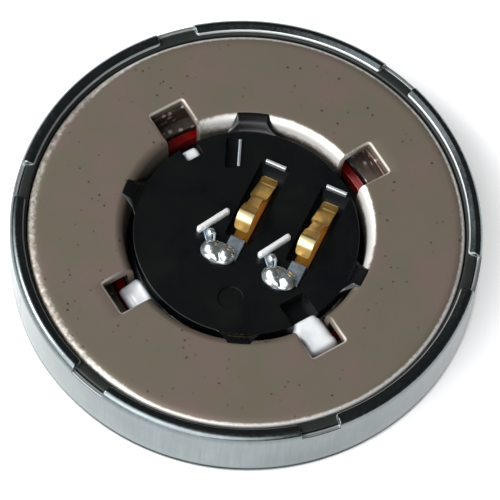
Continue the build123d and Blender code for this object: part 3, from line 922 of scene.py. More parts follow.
def can_skin(settings):
    """The can: front, wall and an edge folded over in tongues, and where it is sheared."""
    bore = CAN_RADIUS - CAN_SHEET
    inner_corner = 0.11
    flat_radii, wall_heights = (0, 3.2, 5.4), (0.6, 1.2, 1.68)
    front = [(r, 0) for r in flat_radii] + arc(
        (CAN_RADIUS - CAN_CORNER, CAN_CORNER), CAN_CORNER, -90, 0, 8)
    wall = [(CAN_RADIUS, z) for z in wall_heights]
    inside = [(bore, z) for z in reversed(wall_heights)]
    inside += arc((bore - inner_corner, CAN_SHEET + inner_corner), inner_corner, 0, -90, 5)
    inside += [(r, CAN_SHEET) for r in reversed(flat_radii)]
    low_edge = gap_profile()
    past_bend, tip = slice(5, 18), slice(13, 17)
    grid, sheared = [], []
    for turn, share, reach_share in rim_columns(settings):
        angle = radians(turn)
        fall = settings.tongue_fall / MM * (1 + 0.5 * ripple(angle, 3.2, 4.0))
        high_edge = tongue_profile(reach_share, fall)
        edge = [(a[0] + (b[0] - a[0]) * share, a[1] + (b[1] - a[1]) * share)
                for a, b in zip(low_edge, high_edge)]
        profile = front + wall + edge + inside
        grid.append([(r * cos(angle), r * sin(angle), z) for r, z in profile])
        bare = [0.0] * len(edge)
        bare[past_bend] = [0.4 * (1 - share)] * 13
        bare[tip] = [0.6] * 4
        sheared.append([0.0] * len(front + wall) + bare + [0.0] * len(inside))
    finish_mark = [value for ring in zip(*sheared) for value in ring]
    return skin([list(ring) for ring in zip(*grid)]), finish_mark


def spool(radius, low, high, edge):
    """A cutter for a round hole with rounded edges."""
    sides = [(0, low - 0.1), (radius + edge, low - 0.1)]
    sides += [(radius + edge * (1 - sin(radians(a))), low + edge * (1 - cos(radians(a))))
              for a in (0, 30, 60, 90)]
    sides += [(radius + edge * (1 - cos(radians(a))), high - edge * (1 - sin(radians(a))))
              for a in (0, 30, 60, 90)]
    sides += [(radius + edge, high + 0.1), (0, high + 0.1)]
    return turned(sides, 64, closed=False)


class EARPIECE_OT_front_can(bpy.types.Operator):
    """Builds the drawn can with its folded tongues and sound holes"""
    bl_idname = "earpiece.front_can"
    bl_label = "Front can"

    def execute(self, context):
        settings = context.scene.earpiece_can
        material = drawn_nickel(context.scene.earpiece_colours)
        whole, sheared = can_skin(settings)
        can = add_piece("can_drawn", whole, material, "housing", ["front_can"],
                        weld=False, finish_mark=sheared)
        hole = spool(settings.hole_radius / MM, 0, CAN_SHEET, 0.03)
        ring = settings.hole_ring / MM
        holes = [placed(hole, (ring * cos(radians(a)), ring * sin(radians(a)), 0))
                 for a in range(0, 360, 60)]
        carve(can, joined(hole, *holes))
        return {"FINISHED"}


# ---------------------------------------------------------------- rear plate

def collar_shape(settings):
    """The collar's bore, slope and depth, its bend's radius and turn, and the flat's edge."""
    bore, face = settings.collar_bore / MM, settings.hole_radius / MM
    depth, bend = settings.flare_depth / MM, settings.hole_round / MM
    slope = (face - bore) / depth
    turn = pi / 2 - atan2(slope, 1)
    return bore, slope, depth, bend, turn, face + bend * tan(turn / 2)


def collar_radius_at(settings, height, clearance=0.0):
    """Radius of the inside of the collar or its bend at a height, less a clearance."""
    bore, slope, depth, bend, turn, flat = collar_shape(settings)
    fall = PLATE_TOP - height
    if fall < bend * (1 - cos(turn)):
        return flat - bend * sin(acos(1 - fall / bend)) - clearance
    return bore + slope * max(0.0, depth - fall) - clearance


def plate_section(settings):
    """The plate and its collar, cut through the middle: (radius, height) points."""
    bore, slope, depth, bend, turn, flat = collar_shape(settings)
    sheet, rim_drop = 0.18, 0.11
    roll = settings.edge_round / MM
    turn_z = PLATE_TOP - depth
    inside = [(bore + 0.02, COLLAR_LOW), (bore, COLLAR_LOW + 0.02), (bore, turn_z - 0.1)]
    inside += [(bore + 0.02 * slope, turn_z + 0.02)]
    for step in range(14, 0, -1):
        angle = turn * step / 14
        inside.append((flat - bend * sin(angle), PLATE_TOP - bend * (1 - cos(angle))))
    limit = PLATE_RADIUS - roll
    top = [(flat + (limit - flat) * share, PLATE_TOP)
           for share in (0, 0.02, 0.08, 0.18, 0.31, 0.33, 0.5, 0.75, 0.95)]
    rim = []
    for step in range(0, 7):
        angle = radians(15 * step)
        rim.append((PLATE_RADIUS - roll * (1 - sin(angle)),
                    PLATE_TOP - rim_drop * (1 - cos(angle))))
    rim += [(PLATE_RADIUS, PLATE_UNDER + 0.03), (PLATE_RADIUS - 0.03, PLATE_UNDER)]
    outer = bore + sheet + slope * (PLATE_UNDER - turn_z)
    under = [(5.0, PLATE_UNDER), (4.35, PLATE_UNDER), (outer, PLATE_UNDER),
             (bore + sheet, turn_z), (bore + sheet, COLLAR_LOW + 0.02),
             (bore + sheet - 0.02, COLLAR_LOW)]
    return inside + top + rim + under


def window_cutter(angle, edge):
    """A cutter for one window, whose upper edges it rounds."""
    outline = rounded([(2.6, -WINDOW_HALF), (WINDOW_REACH, -WINDOW_HALF),
                       (WINDOW_REACH, WINDOW_HALF), (2.6, WINDOW_HALF)],
                      [0.02, 0.05, 0.05, 0.02], 4)
    rings = [[(x, y, z) for x, y in outline] for z in (0.5, PLATE_TOP - edge)]
    for step in range(1, 5):
        turn = radians(90 * step / 4)
        wide = offset(outline, edge * (1 - cos(turn)))
        rings.append([(x, y, PLATE_TOP - edge * (1 - sin(turn))) for x, y in wide])
    rings.append([(x, y, PLATE_TOP + 0.3) for x, y in offset(outline, edge * 1.02)])
    return placed(skin(rings, caps=True), turn=angle)


def plate_wear_and_highlight(settings, mesh):
    """How pale each point of the plate is, from burnish and painted highlight, and how freshly
    sheared it is.

    The bend is painted bright along its back and right as a highlight, and stays dull opposite.
    The rim is burnished along a narrow line; on the left the line is painted as a wider, dimmer
    highlight of the light from that side."""
    flat = collar_radius_at(settings, PLATE_TOP)
    limit = PLATE_RADIUS - settings.edge_round / MM
    wear_and_highlight, sheared = [], []
    for vertex in mesh.vertices:
        x, y, z = vertex.co / MM
        radius, fall = hypot(x, y), PLATE_TOP - z
        burnish_and_highlight, shear = 0.0, 0.0
        if radius > limit:
            # On the left the burnished line is painted wider and dimmer, as a highlight of the
            # light from that side.
            left = smooth_step(cos(atan2(y, x) - radians(205)), 0.40, 0.85)
            start = limit + 0.13 - 0.13 * left
            burnish_and_highlight = (0.85 - 0.48 * left) * smooth_step(radius, start, start + 0.11)
        elif 0.0005 < fall < 0.6 and radius < flat - 0.0005:
            # Painted highlight: the bend is painted pale towards its back and right, where the
            # light falls, fading out with depth.
            side = cos(atan2(y, x) - radians(68))
            burnish_and_highlight = (smooth_step(flat - radius, 0.0, 0.16) * smooth_step(side, 0.1, 0.6)
                       * (1 - smooth_step(fall, 0.45, 0.60)))
        elif 0.0005 < fall < PLATE_TOP - PLATE_UNDER:
            shear = 1 - smooth_step(fall, 0.05, 0.08)
        wear_and_highlight.append(burnish_and_highlight)
        sheared.append(shear)
    return wear_and_highlight, sheared


class EARPIECE_OT_rear_plate(bpy.types.Operator):
    """Builds the rear plate with its hole, four windows and turned-down collar"""
    bl_idname = "earpiece.rear_plate"
    bl_label = "Rear plate"

    def execute(self, context):
        settings = context.scene.earpiece_plate
        material = dull_nickel(context.scene.earpiece_colours)
        plate = add_piece("rear_plate", turned(plate_section(settings)), material, "housing",
                          ["rear_yoke"])
        windows = [window_cutter(angle, settings.window_round / MM) for angle in WINDOW_ANGLES]
        carve(plate, joined(*windows))
        for name, values in zip(("finish_mark", "sheared"), plate_wear_and_highlight(settings, plate.data)):
            mark = plate.data.attributes.new(name, "FLOAT", "POINT")
            mark.data.foreach_set("value", values)
        return {"FINISHED"}


# ---------------------------------------------------------------- terminal block

EARS = ((111.5, 0.78), (185.0, 0.42), (291.0, 0.56), (359.5, 0.50))  # bearing and width
EAR_FLARE = 0.42             # over which an ear dies out on each side


def ear_share(turn):
    """How far the block reaches out at a bearing: 1 at an ear, and 0 away from the ears."""
    share = 0.0
    for ear_turn, width in EARS:
        along = radians(abs((turn - ear_turn + 180) % 360 - 180)) * BLOCK_RADIUS
        near = max(0.0, min(1.0, 1 - (along - width / 2) / EAR_FLARE))
        share = max(share, near ** 2.2)
    return share


def block_profiles(plate):
    """The block's edge where it is plain, and where an ear hooks over the collar's bend."""
    edge, clearance = 0.022, 0.012
    foot, straight_z = 3.26, 1.14
    tip = collar_radius_at(plate, PLATE_TOP) - 0.06
    tip_z = PLATE_TOP - 0.008
    plain = [(BLOCK_RADIUS - 0.02, BLOCK_UNDER), (BLOCK_RADIUS, BLOCK_UNDER + 0.02)]
    eared = [(foot, BLOCK_UNDER), (foot + 0.02, BLOCK_UNDER + 0.02)]
    count = 16
    for step in range(count):
        share = step / (count - 1)
        plain.append((BLOCK_RADIUS, straight_z + (BLOCK_TOP - edge - straight_z) * share))
        height = straight_z + (tip_z - straight_z) * share ** 0.6
        eared.append((min(tip, collar_radius_at(plate, height, clearance)), height))
    centre = (BLOCK_RADIUS - edge, BLOCK_TOP - edge)
    plain += arc(centre, edge, 10, 90, 10)
    eared += [(tip, PLATE_TOP + 0.004), (tip - 0.02, PLATE_TOP + 0.008)]
    eared += [(radius, PLATE_TOP - fall) for radius, fall in (
        (3.46, 0.015), (3.36, 0.045), (3.30, 0.07), (3.26, 0.11), (3.21, 0.19), (3.17, 0.25),
        (3.14, 0.285))]
    eared += [(3.11, BLOCK_TOP + 0.002), (BLOCK_RADIUS - edge, BLOCK_TOP)]
    return plain, eared


def block_skin(plate):
    """The block without its pockets."""
    plain, eared = block_profiles(plate)
    grid = []
    for index in range(720):
        turn = index / 2
        share = ear_share(turn)
        ring = [(a[0] + (b[0] - a[0]) * share, a[1] + (b[1] - a[1]) * share)
                for a, b in zip(plain, eared)]
        ring.append((BLOCK_RADIUS - 0.08, BLOCK_TOP))
        angle = radians(turn)
        grid.append([(r * cos(angle), r * sin(angle), z) for r, z in ring])
    return skin([list(ring) for ring in zip(*grid)], caps=True)


def box_outline(length, width, corner):
    """A rectangle with rounded corners."""
    half = ((-length / 2, -width / 2), (length / 2, -width / 2),
            (length / 2, width / 2), (-length / 2, width / 2))
    return rounded(half, corner, 4)


def slit_edge():
    """Place of the tab at the back edge of the lone slit."""
    shift = Matrix.Rotation(radians(SLIT_TURN), 2) @ Vector((0, -0.215))
    return SLIT_PLACE[0] + shift.x, SLIT_PLACE[1] + shift.y, 0


def block_cutters(contacts):
    """Cutters for the notches, the pockets, slots and wire holes, the slit and the gate mark."""
    cutters = []
    length = 2.0
    for angle, depth, width, low in ((WINDOW_ANGLES[1], 0.44, 0.53, 0.5),
                                     (WINDOW_ANGLES[3], 0.76, 0.80, 1.16)):
        notch = prism(box_outline(length, width, 0.07), low, CLEAR_ABOVE)
        place = BLOCK_RADIUS - depth + length / 2
        cutters.append(placed(
            notch, (place * cos(radians(angle)), place * sin(radians(angle)), 0), angle))
    pocket_far, pocket_near = 2.19, -0.31
    pocket = prism(box_outline(0.84, pocket_far - pocket_near, 0.06), POCKET_FLOOR, CLEAR_ABOVE)
    slot = prism(box_outline(contacts.blade_length / MM + 0.04, 0.14, 0.02), BLOCK_TOP - 0.26,
                 CLEAR_ABOVE)
    radius, below = 0.055, 0.5
    hole = turned([(0, below), (radius, below), (radius, CLEAR_ABOVE), (0, CLEAR_ABOVE)], 24,
                  closed=False)
    for x in CONTACTS.values():
        cutters.append(placed(pocket, (x, (pocket_far + pocket_near) / 2, 0)))
        cutters.append(placed(slot, (x + BLADE_PLACE[0], BLADE_PLACE[1], 0), BLADE_TURN))
        cutters.append(placed(hole, (x + WIRE_HOLE[0], WIRE_HOLE[1], 0)))
    slit = prism(box_outline(0.92, 0.34, 0.05), BLOCK_TOP - 0.22, CLEAR_ABOVE)
    cutters.append(placed(slit, (*SLIT_PLACE, 0), SLIT_TURN))
    gate = [(0, BLOCK_TOP - 0.05), (0.34, BLOCK_TOP - 0.05), (0.36, BLOCK_TOP - 0.02),
            (0.37, CLEAR_ABOVE), (0, CLEAR_ABOVE)]
    cutters.append(placed(turned(gate, 64, closed=False), (*GATE_PLACE, 0)))
    return cutters


class EARPIECE_OT_terminal_block(bpy.types.Operator):
    """Builds the black moulding with its ears, pockets, slots and ridges"""
    bl_idname = "earpiece.terminal_block"
    bl_label = "Terminal block"

    def execute(self, context):
        contacts = context.scene.earpiece_contacts
        material = moulded_black(context.scene.earpiece_colours)
        block = add_piece("terminal_block_moulded", block_skin(context.scene.earpiece_plate),
                          material, "housing", ["terminal_block"])
        for cutter in block_cutters(contacts):
            carve(block, cutter)
        low, high = BLOCK_TOP - 0.04, BLOCK_TOP + 0.07
        ridge = pillow(box_outline(0.62, 0.09, 0.03), low, high, 0.035)
        for x in CONTACTS.values():
            carve(block, placed(ridge, (x, RIDGE_Y, 0)), "UNION")
        fin = pillow(box_outline(0.86, 0.09, 0.03), low, high, 0.035)
        carve(block, placed(fin, slit_edge(), SLIT_TURN), "UNION")
        bevel = block.modifiers.new("edges", "BEVEL")
        bevel.width = 0.014 * MM
        bevel.segments = 2
        bevel.limit_method = "ANGLE"
        bevel.angle_limit = radians(50)
        bevel.harden_normals = True
        settle(block)
        return {"FINISHED"}


# ---------------------------------------------------------------- contacts

def leaf_half_width(y, tip_y, back_y, settings):
    """Half the leaf's width along its length, with its corners rounded."""
    wide = settings.leaf_width / MM / 2
    neck = settings.neck_width / MM / 2
    crest = settings.crest_width / MM / 2
    half = neck + (wide - neck) * smooth_step(y, 0.93, 1.07)
    half = half + (crest - neck) * (1 - smooth_step(y, 0.53, 0.66))
    corner = 0.07
    for end in (tip_y, back_y):
        near = abs(y - end)
        if near < corner:
            half -= corner - sqrt(max(0, corner ** 2 - (corner - near) ** 2))
    return half


def strip_along(x, line, section):
    """A strip whose section, given across and upwards, follows a line of (y, z) points."""
    rings = []
    for index, point in enumerate(line):
        before = line[max(0, index - 1)]
        after = line[min(len(line) - 1, index + 1)]
        along = (after - before).normalized()
        up = Vector((along.y, -along.x))
        rings.append([(x + a, point.x + up.x * b, point.y + up.y * b)
                      for a, b in section(point.x)])
    return skin(rings, caps=True)


def leaf_skin(x, settings):
    """A leaf bent up from its root, over the crest and down to its tip."""
    back_y, tip_y = 1.90, -0.12
    root_z, sheet = 1.325, 0.07
    corners = [(back_y, root_z), (1.68, root_z), (0.13, PLATE_TOP + 0.41),
               (tip_y, PLATE_TOP - 0.06)]
    line = rounded(corners, [0, 0.30, 0.20, 0], 14, closed=False)
    line = resampled(line, 0.025)
    start, end = line[0], line[-1]
    line.insert(1, start.lerp(line[1], 0.3))
    line.insert(-1, end.lerp(line[-2], 0.3))
    return strip_along(x, line, lambda y: box_outline(
        2 * leaf_half_width(y, tip_y, back_y, settings), sheet, 0.022))


def lug_skin(x, settings):
    """Strip under the leaf, riser, solder pad, arm and upright blade, and where it is gold."""
    sheet = LUG_SHEET
    low, high = POCKET_FLOOR + sheet / 2, BLOCK_TOP + sheet / 2
    line = rounded([(1.95, low), (-0.28, low), (-0.28, high), (PAD_PLACE[1], high)],
                   [0, 0.05, 0.05, 0], 5, closed=False)
    line = resampled(line, 0.08)
    strip = strip_along(x, line, lambda y: box_outline(0.44, sheet, 0.018))
    pad = turned([(0, BLOCK_TOP)] + arc((0.32, BLOCK_TOP + 0.02), 0.02, -90, 0, 3)
                 + arc((0.32, BLOCK_TOP + 0.04), 0.02, 0, 90, 3) + [(0, BLOCK_TOP + sheet)],
                 64, closed=False)
    pad = placed(pad, (x + PAD_PLACE[0], PAD_PLACE[1], 0))
    length = settings.blade_length / MM
    low_z, high_z = BLOCK_TOP - 0.24, PLATE_TOP - 0.03
    face = rounded([(-length / 2, low_z), (length / 2, low_z), (length / 2, high_z),
                    (-length / 2, high_z)], [0.02, 0.02, 0.09, 0.09], 5)
    half = ((0.07, 0.05), (0.065, 0.03), (0.052, 0.013), (0.03, 0.003))
    sides = [(-across, shrink) for across, shrink in half] + [(0.0, 0.0)] + list(reversed(half))
    blade_rings = [[(u, across, v) for u, v in offset(face, -shrink)]
                   for across, shrink in sides]
    blade = placed(skin(blade_rings, caps=True), (x + BLADE_PLACE[0], BLADE_PLACE[1], 0),
                   BLADE_TURN)
    start = Vector((-0.49, PAD_PLACE[1]))
    end = Vector((BLADE_PLACE[0] - 0.25 * length * cos(radians(BLADE_TURN)),
                  BLADE_PLACE[1] - 0.25 * length * sin(radians(BLADE_TURN))))
    arm_length = (end - start).length
    arm = pillow(box_outline(arm_length + 0.06, 0.18, 0.03), BLOCK_TOP, BLOCK_TOP + sheet, 0.018)
    middle = (start + end) / 2
    arm = placed(arm, (x + middle.x, middle.y, 0),
                 degrees(atan2(end.y - start.y, end.x - start.x)))
    tail = placed(pillow(box_outline(0.62, 0.10, 0.03), BLOCK_TOP - 0.1, BLOCK_TOP + 0.09, 0.03),
                  (x, RIDGE_Y, 0))
    whole = joined(strip, pad, blade, arm, tail)
    plating = [1.0 - smooth_step(z, low + 0.04, low + 0.12) if y < 2 and y > -0.5 else 0.0
               for _, y, z in whole[0]]
    return whole, plating


def solder_skin(x, seed):
    """A joint of two runs of solder that froze with a dent between them, and a bead."""
    centre = Vector((x + PAD_PLACE[0], PAD_PLACE[1]))
    pad_top = BLOCK_TOP + LUG_SHEET
    lobes = ((-0.24, 0.0, 0.24, 0.25), (0.24, -0.02, 0.23, 0.24), (0.0, -0.20, 0.16, 0.17))
    rings = []
    power = 2.3              # of the rounded box that the joint fills
    shares = [0, 0.12, 0.24, 0.36, 0.47, 0.57, 0.66, 0.74, 0.81, 0.87, 0.92, 0.96, 0.985, 1.0]
    for share in reversed(shares):
        ring = []
        for index in range(96):
            angle = 2 * pi * index / 96
            wide = 0.50 * (1 + 0.05 * ripple(angle, 1.3, seed))
            deep = 0.335 * (1 + 0.07 * ripple(angle, 1.7, seed + 5))
            edge = ((abs(cos(angle)) / wide) ** power
                    + (abs(sin(angle)) / deep) ** power) ** (-1 / power)
            u, v = share * edge * cos(angle), share * edge * sin(angle)
            swell = 0.10
            for lobe_x, lobe_y, size, height in lobes:
                away = ((u - lobe_x) ** 2 + (v - lobe_y) ** 2) / size ** 2
                swell = max(swell, height * sqrt(max(0.0, 1 - away * 0.8)))
            dent = 0.02 * noise.noise(Vector((u * 7, v * 7, seed)))
            height = (swell + dent) * (1 - share ** 5) ** 0.5
            ring.append((centre.x + u, centre.y + v,
                         min(pad_top + max(0.0, height), pad_top + 0.25)))
        rings.append(ring)
    base = [(px, py, pad_top - 0.01) for px, py, _ in rings[0]]
    blob = skin([base] + rings)
    dot = [(0.0, -0.02)] + arc((0, 0), 0.14, 0, 90, 6)
    bead = placed(turned([(r, z * 0.95) for r, z in dot], 32, closed=False),
                  (x - 0.75, -0.45, BLOCK_TOP + 0.03))
    return joined(blob, bead)


class EARPIECE_OT_contacts(bpy.types.Operator):
    """Builds the leaf springs, the lugs under them and the solder on the lugs"""
    bl_idname = "earpiece.contacts"
    bl_label = "Contacts"

    def execute(self, context):
        settings = context.scene.earpiece_contacts
        colours = context.scene.earpiece_colours
        gold, tin, solder = gold_plate(colours), tin_plate(colours), solder_alloy(colours)
        for seed, (side, x) in enumerate(CONTACTS.items()):
            leaf = leaf_skin(x, settings)
            # Mark for the painted highlight on the leaf's crest.
            painted_highlight = [smooth_step(y, -0.04, 0.02) * (1 - smooth_step(y, 0.22, 0.30))
                      for _, y, _ in leaf[0]]
            add_piece("leaf_" + side, leaf, gold, side + "_contact",
                      ["contact_spring_" + side], weld=False, finish_mark=painted_highlight)
            lug, plating = lug_skin(x, settings)
            add_piece("lug_" + side, lug, tin, "housing", ["solder_lug_" + side],
                      weld=False, finish_mark=plating)
            add_piece("solder_" + side, solder_skin(x, 2.0 + 3.7 * seed), solder, "housing",
                      ["solder_joint_" + side], crease=60)
        tab = placed(pillow(box_outline(0.84, 0.09, 0.03), BLOCK_TOP - 0.1, BLOCK_TOP + 0.08,
                            0.03), slit_edge(), SLIT_TURN)
        add_piece("slit_tab", tab, tin, "housing")
        return {"FINISHED"}


# ---------------------------------------------------------------- coil, diaphragm and stack

def winding_outline():
    """The coil's section, with a round for each turn of wire on its four sides."""
    low, high = COIL_LOW.z, COIL_HIGH.z
    rows, layers = 8, 5
    row, layer = (high - low) / rows, (COIL_RADIUS - COIL_BORE) / layers
    outline = []
    for index in range(layers):
        outline += arc((COIL_BORE + layer * (index + 0.5), low + row / 2), layer / 2,
                       180, 360, 5)[:-1]
    for index in range(rows):
        outline += arc((COIL_RADIUS - layer / 2, low + row * (index + 0.5)), row / 2,
                       -90, 90, 5)[:-1]
    for index in reversed(range(layers)):
        outline += arc((COIL_BORE + layer * (index + 0.5), high - row / 2), layer / 2,
                       0, 180, 5)[:-1]
    for index in reversed(range(rows)):
        outline += arc((COIL_BORE + layer / 2, low + row * (index + 0.5)), row / 2,
                       90, 270, 5)[:-1]
    return [(min(COIL_RADIUS, max(COIL_BORE, r)), min(high, max(low, z))) for r, z in outline]


def wire_end_path(x, angle):
    """From the coil's top, under the block, up through its hole and over to the solder."""
    middle, bend = (COIL_BORE + COIL_RADIUS) / 2, BLOCK_RADIUS - 0.24
    start_z, under_z, joint_z = COIL_HIGH.z + 0.045, BLOCK_UNDER - 0.07, 1.72
    hole = Vector((x + WIRE_HOLE[0], WIRE_HOLE[1]))
    return [(middle * cos(angle), middle * sin(angle), start_z),
            (bend * cos(angle), bend * sin(angle), under_z),
            (hole.x, hole.y, under_z), (hole.x, hole.y, joint_z),
            (x - 0.47, PAD_PLACE[1], joint_z)]


class EARPIECE_OT_voice_coil(bpy.types.Operator):
    """Builds the wound coil and the two ends of its wire"""
    bl_idname = "earpiece.voice_coil"
    bl_label = "Voice coil"

    def execute(self, context):
        material = enamelled_copper(context.scene.earpiece_colours)
        add_piece("coil_winding", turned(winding_outline(), 240), material, "coil",
                  ["voice_coil"], crease=80)
        for side, turn in (("left", WINDOW_ANGLES[2]), ("right", WINDOW_ANGLES[3])):
            line = resampled(wire_end_path(CONTACTS[side], radians(turn)), 0.16)
            lead = add_piece("wire_end_" + side, tube(softened(line, 2), 0.035), material, None,
                             ["coil_lead_" + side], crease=60)
            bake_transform(lead)
        return {"FINISHED"}


def glue_skin(ends, tops, low, half, seed):
    """A dab of glue between two radii, with the height of its back and of its flat underside
    and its half width at each. Its edges are rounded over."""
    rings = []
    count = 26
    for step in range(count + 1):
        share = step / count
        along = ends[0] + (ends[1] - ends[0]) * share
        top = tops[0] + (tops[1] - tops[0]) * smooth_step(share, 0.2, 0.8)
        wide = half[0] + (half[1] - half[0]) * smooth_step(along, BLOCK_RADIUS, 3.2)
        under = low[0] + (low[1] - low[0]) * smooth_step(along, 3.13, 3.2)
        under += 0.19 * smooth_step(along, 3.80, 3.88)      # clear of the pole ring
        close = min(share, 1 - share) * (ends[1] - ends[0])
        round_off = sqrt(max(0.0, 1 - (1 - min(1, close / 0.16)) ** 2))
        wide *= 0.84 + 0.16 * round_off
        top = under + (top - under) * (0.35 + 0.65 * round_off)
        ring = [(along, -wide, under), (along, wide, under)]
        for part in range(15):
            angle = pi * part / 14
            across = wide * cos(angle)
            lump = 0.05 * noise.noise(Vector((along * 3, across * 3, seed)))
            swell = (1 - abs(cos(angle)) ** 5) ** 0.5 + lump
            ring.append((along, across, under + 0.04 + (top - under - 0.04) * max(0.0, swell)))
        rings.append(ring)
    return skin(rings, caps=True)


class EARPIECE_OT_lead_glue(bpy.types.Operator):
    """Builds the dabs of soft white glue between block and coil, and one in the block"""
    bl_idname = "earpiece.lead_glue"
    bl_label = "Glue at the coil"

    def execute(self, context):
        material = white_glue(context.scene.earpiece_colours)
        low = COIL_HIGH.z - 0.02
        dabs = (("left", WINDOW_ANGLES[2], (3.14, 3.80), (1.34, 1.12), (low, low), (0.46, 0.49)),
                ("right", WINDOW_ANGLES[3], (2.97, 4.14), (1.46, 1.56), (1.17, low),
                 (0.38, 0.503)))
        for seed, (side, turn, ends, tops, lows, half) in enumerate(dabs):
            dab = placed(glue_skin(ends, tops, lows, half, 3.0 + seed), turn=turn)
            piece = add_piece("lead_glue_" + side, dab, material, None, crease=60)
            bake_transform(piece)
        plug = glue_skin((2.69, 3.11), (1.40, 1.40), (1.09, 1.09), (0.26, 0.26), 6.0)
        add_piece("block_glue", placed(plug, turn=WINDOW_ANGLES[1]), material, "housing",
                  crease=60)
        return {"FINISHED"}


class EARPIECE_OT_diaphragm(bpy.types.Operator):
    """Builds the diaphragm with its folded surround, coil seat and dome"""
    bl_idname = "earpiece.diaphragm"
    bl_label = "Diaphragm"

    def execute(self, context):
        material = pearl_film(context.scene.earpiece_colours)
        sheet = 0.05
        rim_z, seat_z = FILM_LOW.z, FILM_LOW.z + 0.12
        rise = FILM_HIGH.z - seat_z - sheet
        seat_in, seat_out, fold = COIL_BORE - 0.10, COIL_RADIUS + 0.10, 5.70
        dome_radius = (seat_in ** 2 + rise ** 2) / (2 * rise)
        radii = [seat_in * k / 26 for k in range(27)] + [COIL_BORE, COIL_RADIUS]
        radii += [seat_out + (fold - seat_out) * k / 24 for k in range(25)]
        radii += [5.9, FILM_HIGH.x]

        def height(radius, angle):
            if radius <= seat_in:
                return seat_z + sqrt(dome_radius ** 2 - radius ** 2) - dome_radius + rise
            if radius <= seat_out:
                return seat_z
            share = min(1, (radius - seat_out) / (fold - seat_out))
            roll = seat_z + (rim_z - seat_z) * share * share * (3 - 2 * share)
            folds = sin(pi * share) ** 2 * 0.035
            return roll + folds * cos(40 * angle + 5 * share)

        rings = []
        for lift, row in ((sheet, radii), (0, radii[::-1])):
            for radius in row:
                ring = []
                for index in range(320):
                    angle = 2 * pi * index / 320
                    z = height(radius, angle) + lift
                    ring.append((radius * cos(angle), radius * sin(angle), z))
                rings.append(ring)
        film = add_piece("diaphragm_film", skin(rings), material, None, ["diaphragm"])
        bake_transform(film)
        return {"FINISHED"}


class EARPIECE_OT_stack(bpy.types.Operator):
    """Builds the basket, the clamping ring, the pole ring and the magnet"""
    bl_idname = "earpiece.stack"
    bl_label = "Basket and magnet stack"

    def execute(self, context):
        colours = context.scene.earpiece_colours
        plastic = moulded_grey(colours)
        radius, low, high = BASKET_HIGH.x, BASKET_LOW.z, BASKET_HIGH.z
        wall, ledge = radius - 0.29, radius - 0.64
        outline = rounded([(ledge, low), (radius, low), (radius, high), (wall, high),
                           (wall, POLE_LOW.z), (ledge, POLE_LOW.z)],
                          [0.03, 0.03, 0.05, 0.05, 0.01, 0.03], 4)
        add_piece("basket_moulded", turned(outline), plastic, "housing",
                  ["basket"])
        clamp = rounded([(ledge, CLAMP_LOW.z), (CLAMP_HIGH.x, CLAMP_LOW.z),
                         (CLAMP_HIGH.x, CLAMP_HIGH.z), (ledge, CLAMP_HIGH.z)], 0.03, 4)
        add_piece("clamp_ring", turned(clamp), plastic, "housing",
                  ["front_ring"])
        steel = flecked_metal("pole_steel_plated_pressed", colours.pole_dark,
                              colours.pole_pale, colours.pole_fleck)
        pole = rounded([(POLE_BORE, POLE_LOW.z), (POLE_HIGH.x, POLE_LOW.z),
                        (POLE_HIGH.x, POLE_HIGH.z), (POLE_BORE, POLE_HIGH.z)], 0.03, 4)
        add_piece("pole_ring", turned(pole), steel, "housing",
                  ["front_pole_ring"])
        sintered = flecked_metal("rare_earth_magnet_sintered", colours.magnet_dark,
                                 colours.magnet_pale, colours.magnet_fleck)
        body = rounded([(MAGNET_BORE, MAGNET_LOW.z), (MAGNET_HIGH.x, MAGNET_LOW.z),
                        (MAGNET_HIGH.x, MAGNET_HIGH.z), (MAGNET_BORE, MAGNET_HIGH.z)], 0.05, 4)
        add_piece("magnet_ring", turned(body), sintered, "housing", ["ring_magnet"])
        return {"FINISHED"}


class EARPIECE_OT_dust_cloth(bpy.types.Operator):
    """Builds the woven cloth behind the sound holes"""
    bl_idname = "earpiece.dust_cloth"
    bl_label = "Dust cloth"

    def execute(self, context):
        material = woven_cloth(context.scene.earpiece_colours)
        radius, low, high = CLOTH_HIGH.x, CLOTH_LOW.z, CLOTH_HIGH.z
        outline = [(0, low)] + [(radius * k / 30, low) for k in range(1, 30)]
        outline += [(radius, low + 0.01), (radius, high - 0.01)]
        outline += [(radius * k / 30, high) for k in range(29, 0, -1)] + [(0, high)]
        cloth = add_piece("dust_cloth_woven", turned(outline, 180, closed=False), material,
                          "housing", ["dust_cloth"])
        return {"FINISHED"}


# ---------------------------------------------------------------- stage

def aim_lamp(turn, rise, power):
    """A soft square lamp that looks at the speaker, placed by its bearing and height."""
    distance, side, target = 0.30, 0.08, Vector((0, 0, 0.001))
    lamp = bpy.data.lights.new("key", "AREA")
    lamp.shape = "RECTANGLE"
    lamp.size, lamp.size_y = side, side
    lamp.energy = power
    holder = bpy.data.objects.new("key", lamp)
    place = Vector((cos(rise) * cos(turn), cos(rise) * sin(turn), sin(rise))) * distance
    holder.location = place
    holder.rotation_euler = (target - place).to_track_quat("-Z", "Y").to_euler()
    bpy.context.scene.collection.objects.link(holder)


def glow_share(tree, way, turn, rise, full, edge):
    """A share that is 1 within an angle of a direction and fades to 0 further out."""
    axis = (cos(rise) * cos(turn), cos(rise) * sin(turn), sin(rise))
    nearness = add_node(tree, "ShaderNodeVectorMath", {0: way, 1: axis}, operation="DOT_PRODUCT")
    share = add_node(tree, "ShaderNodeMapRange", {
        0: nearness.outputs["Value"], 1: cos(edge), 2: cos(full), 3: 0.0, 4: 1.0},
        interpolation_type="SMOOTHSTEP")
    return share.outputs[0]


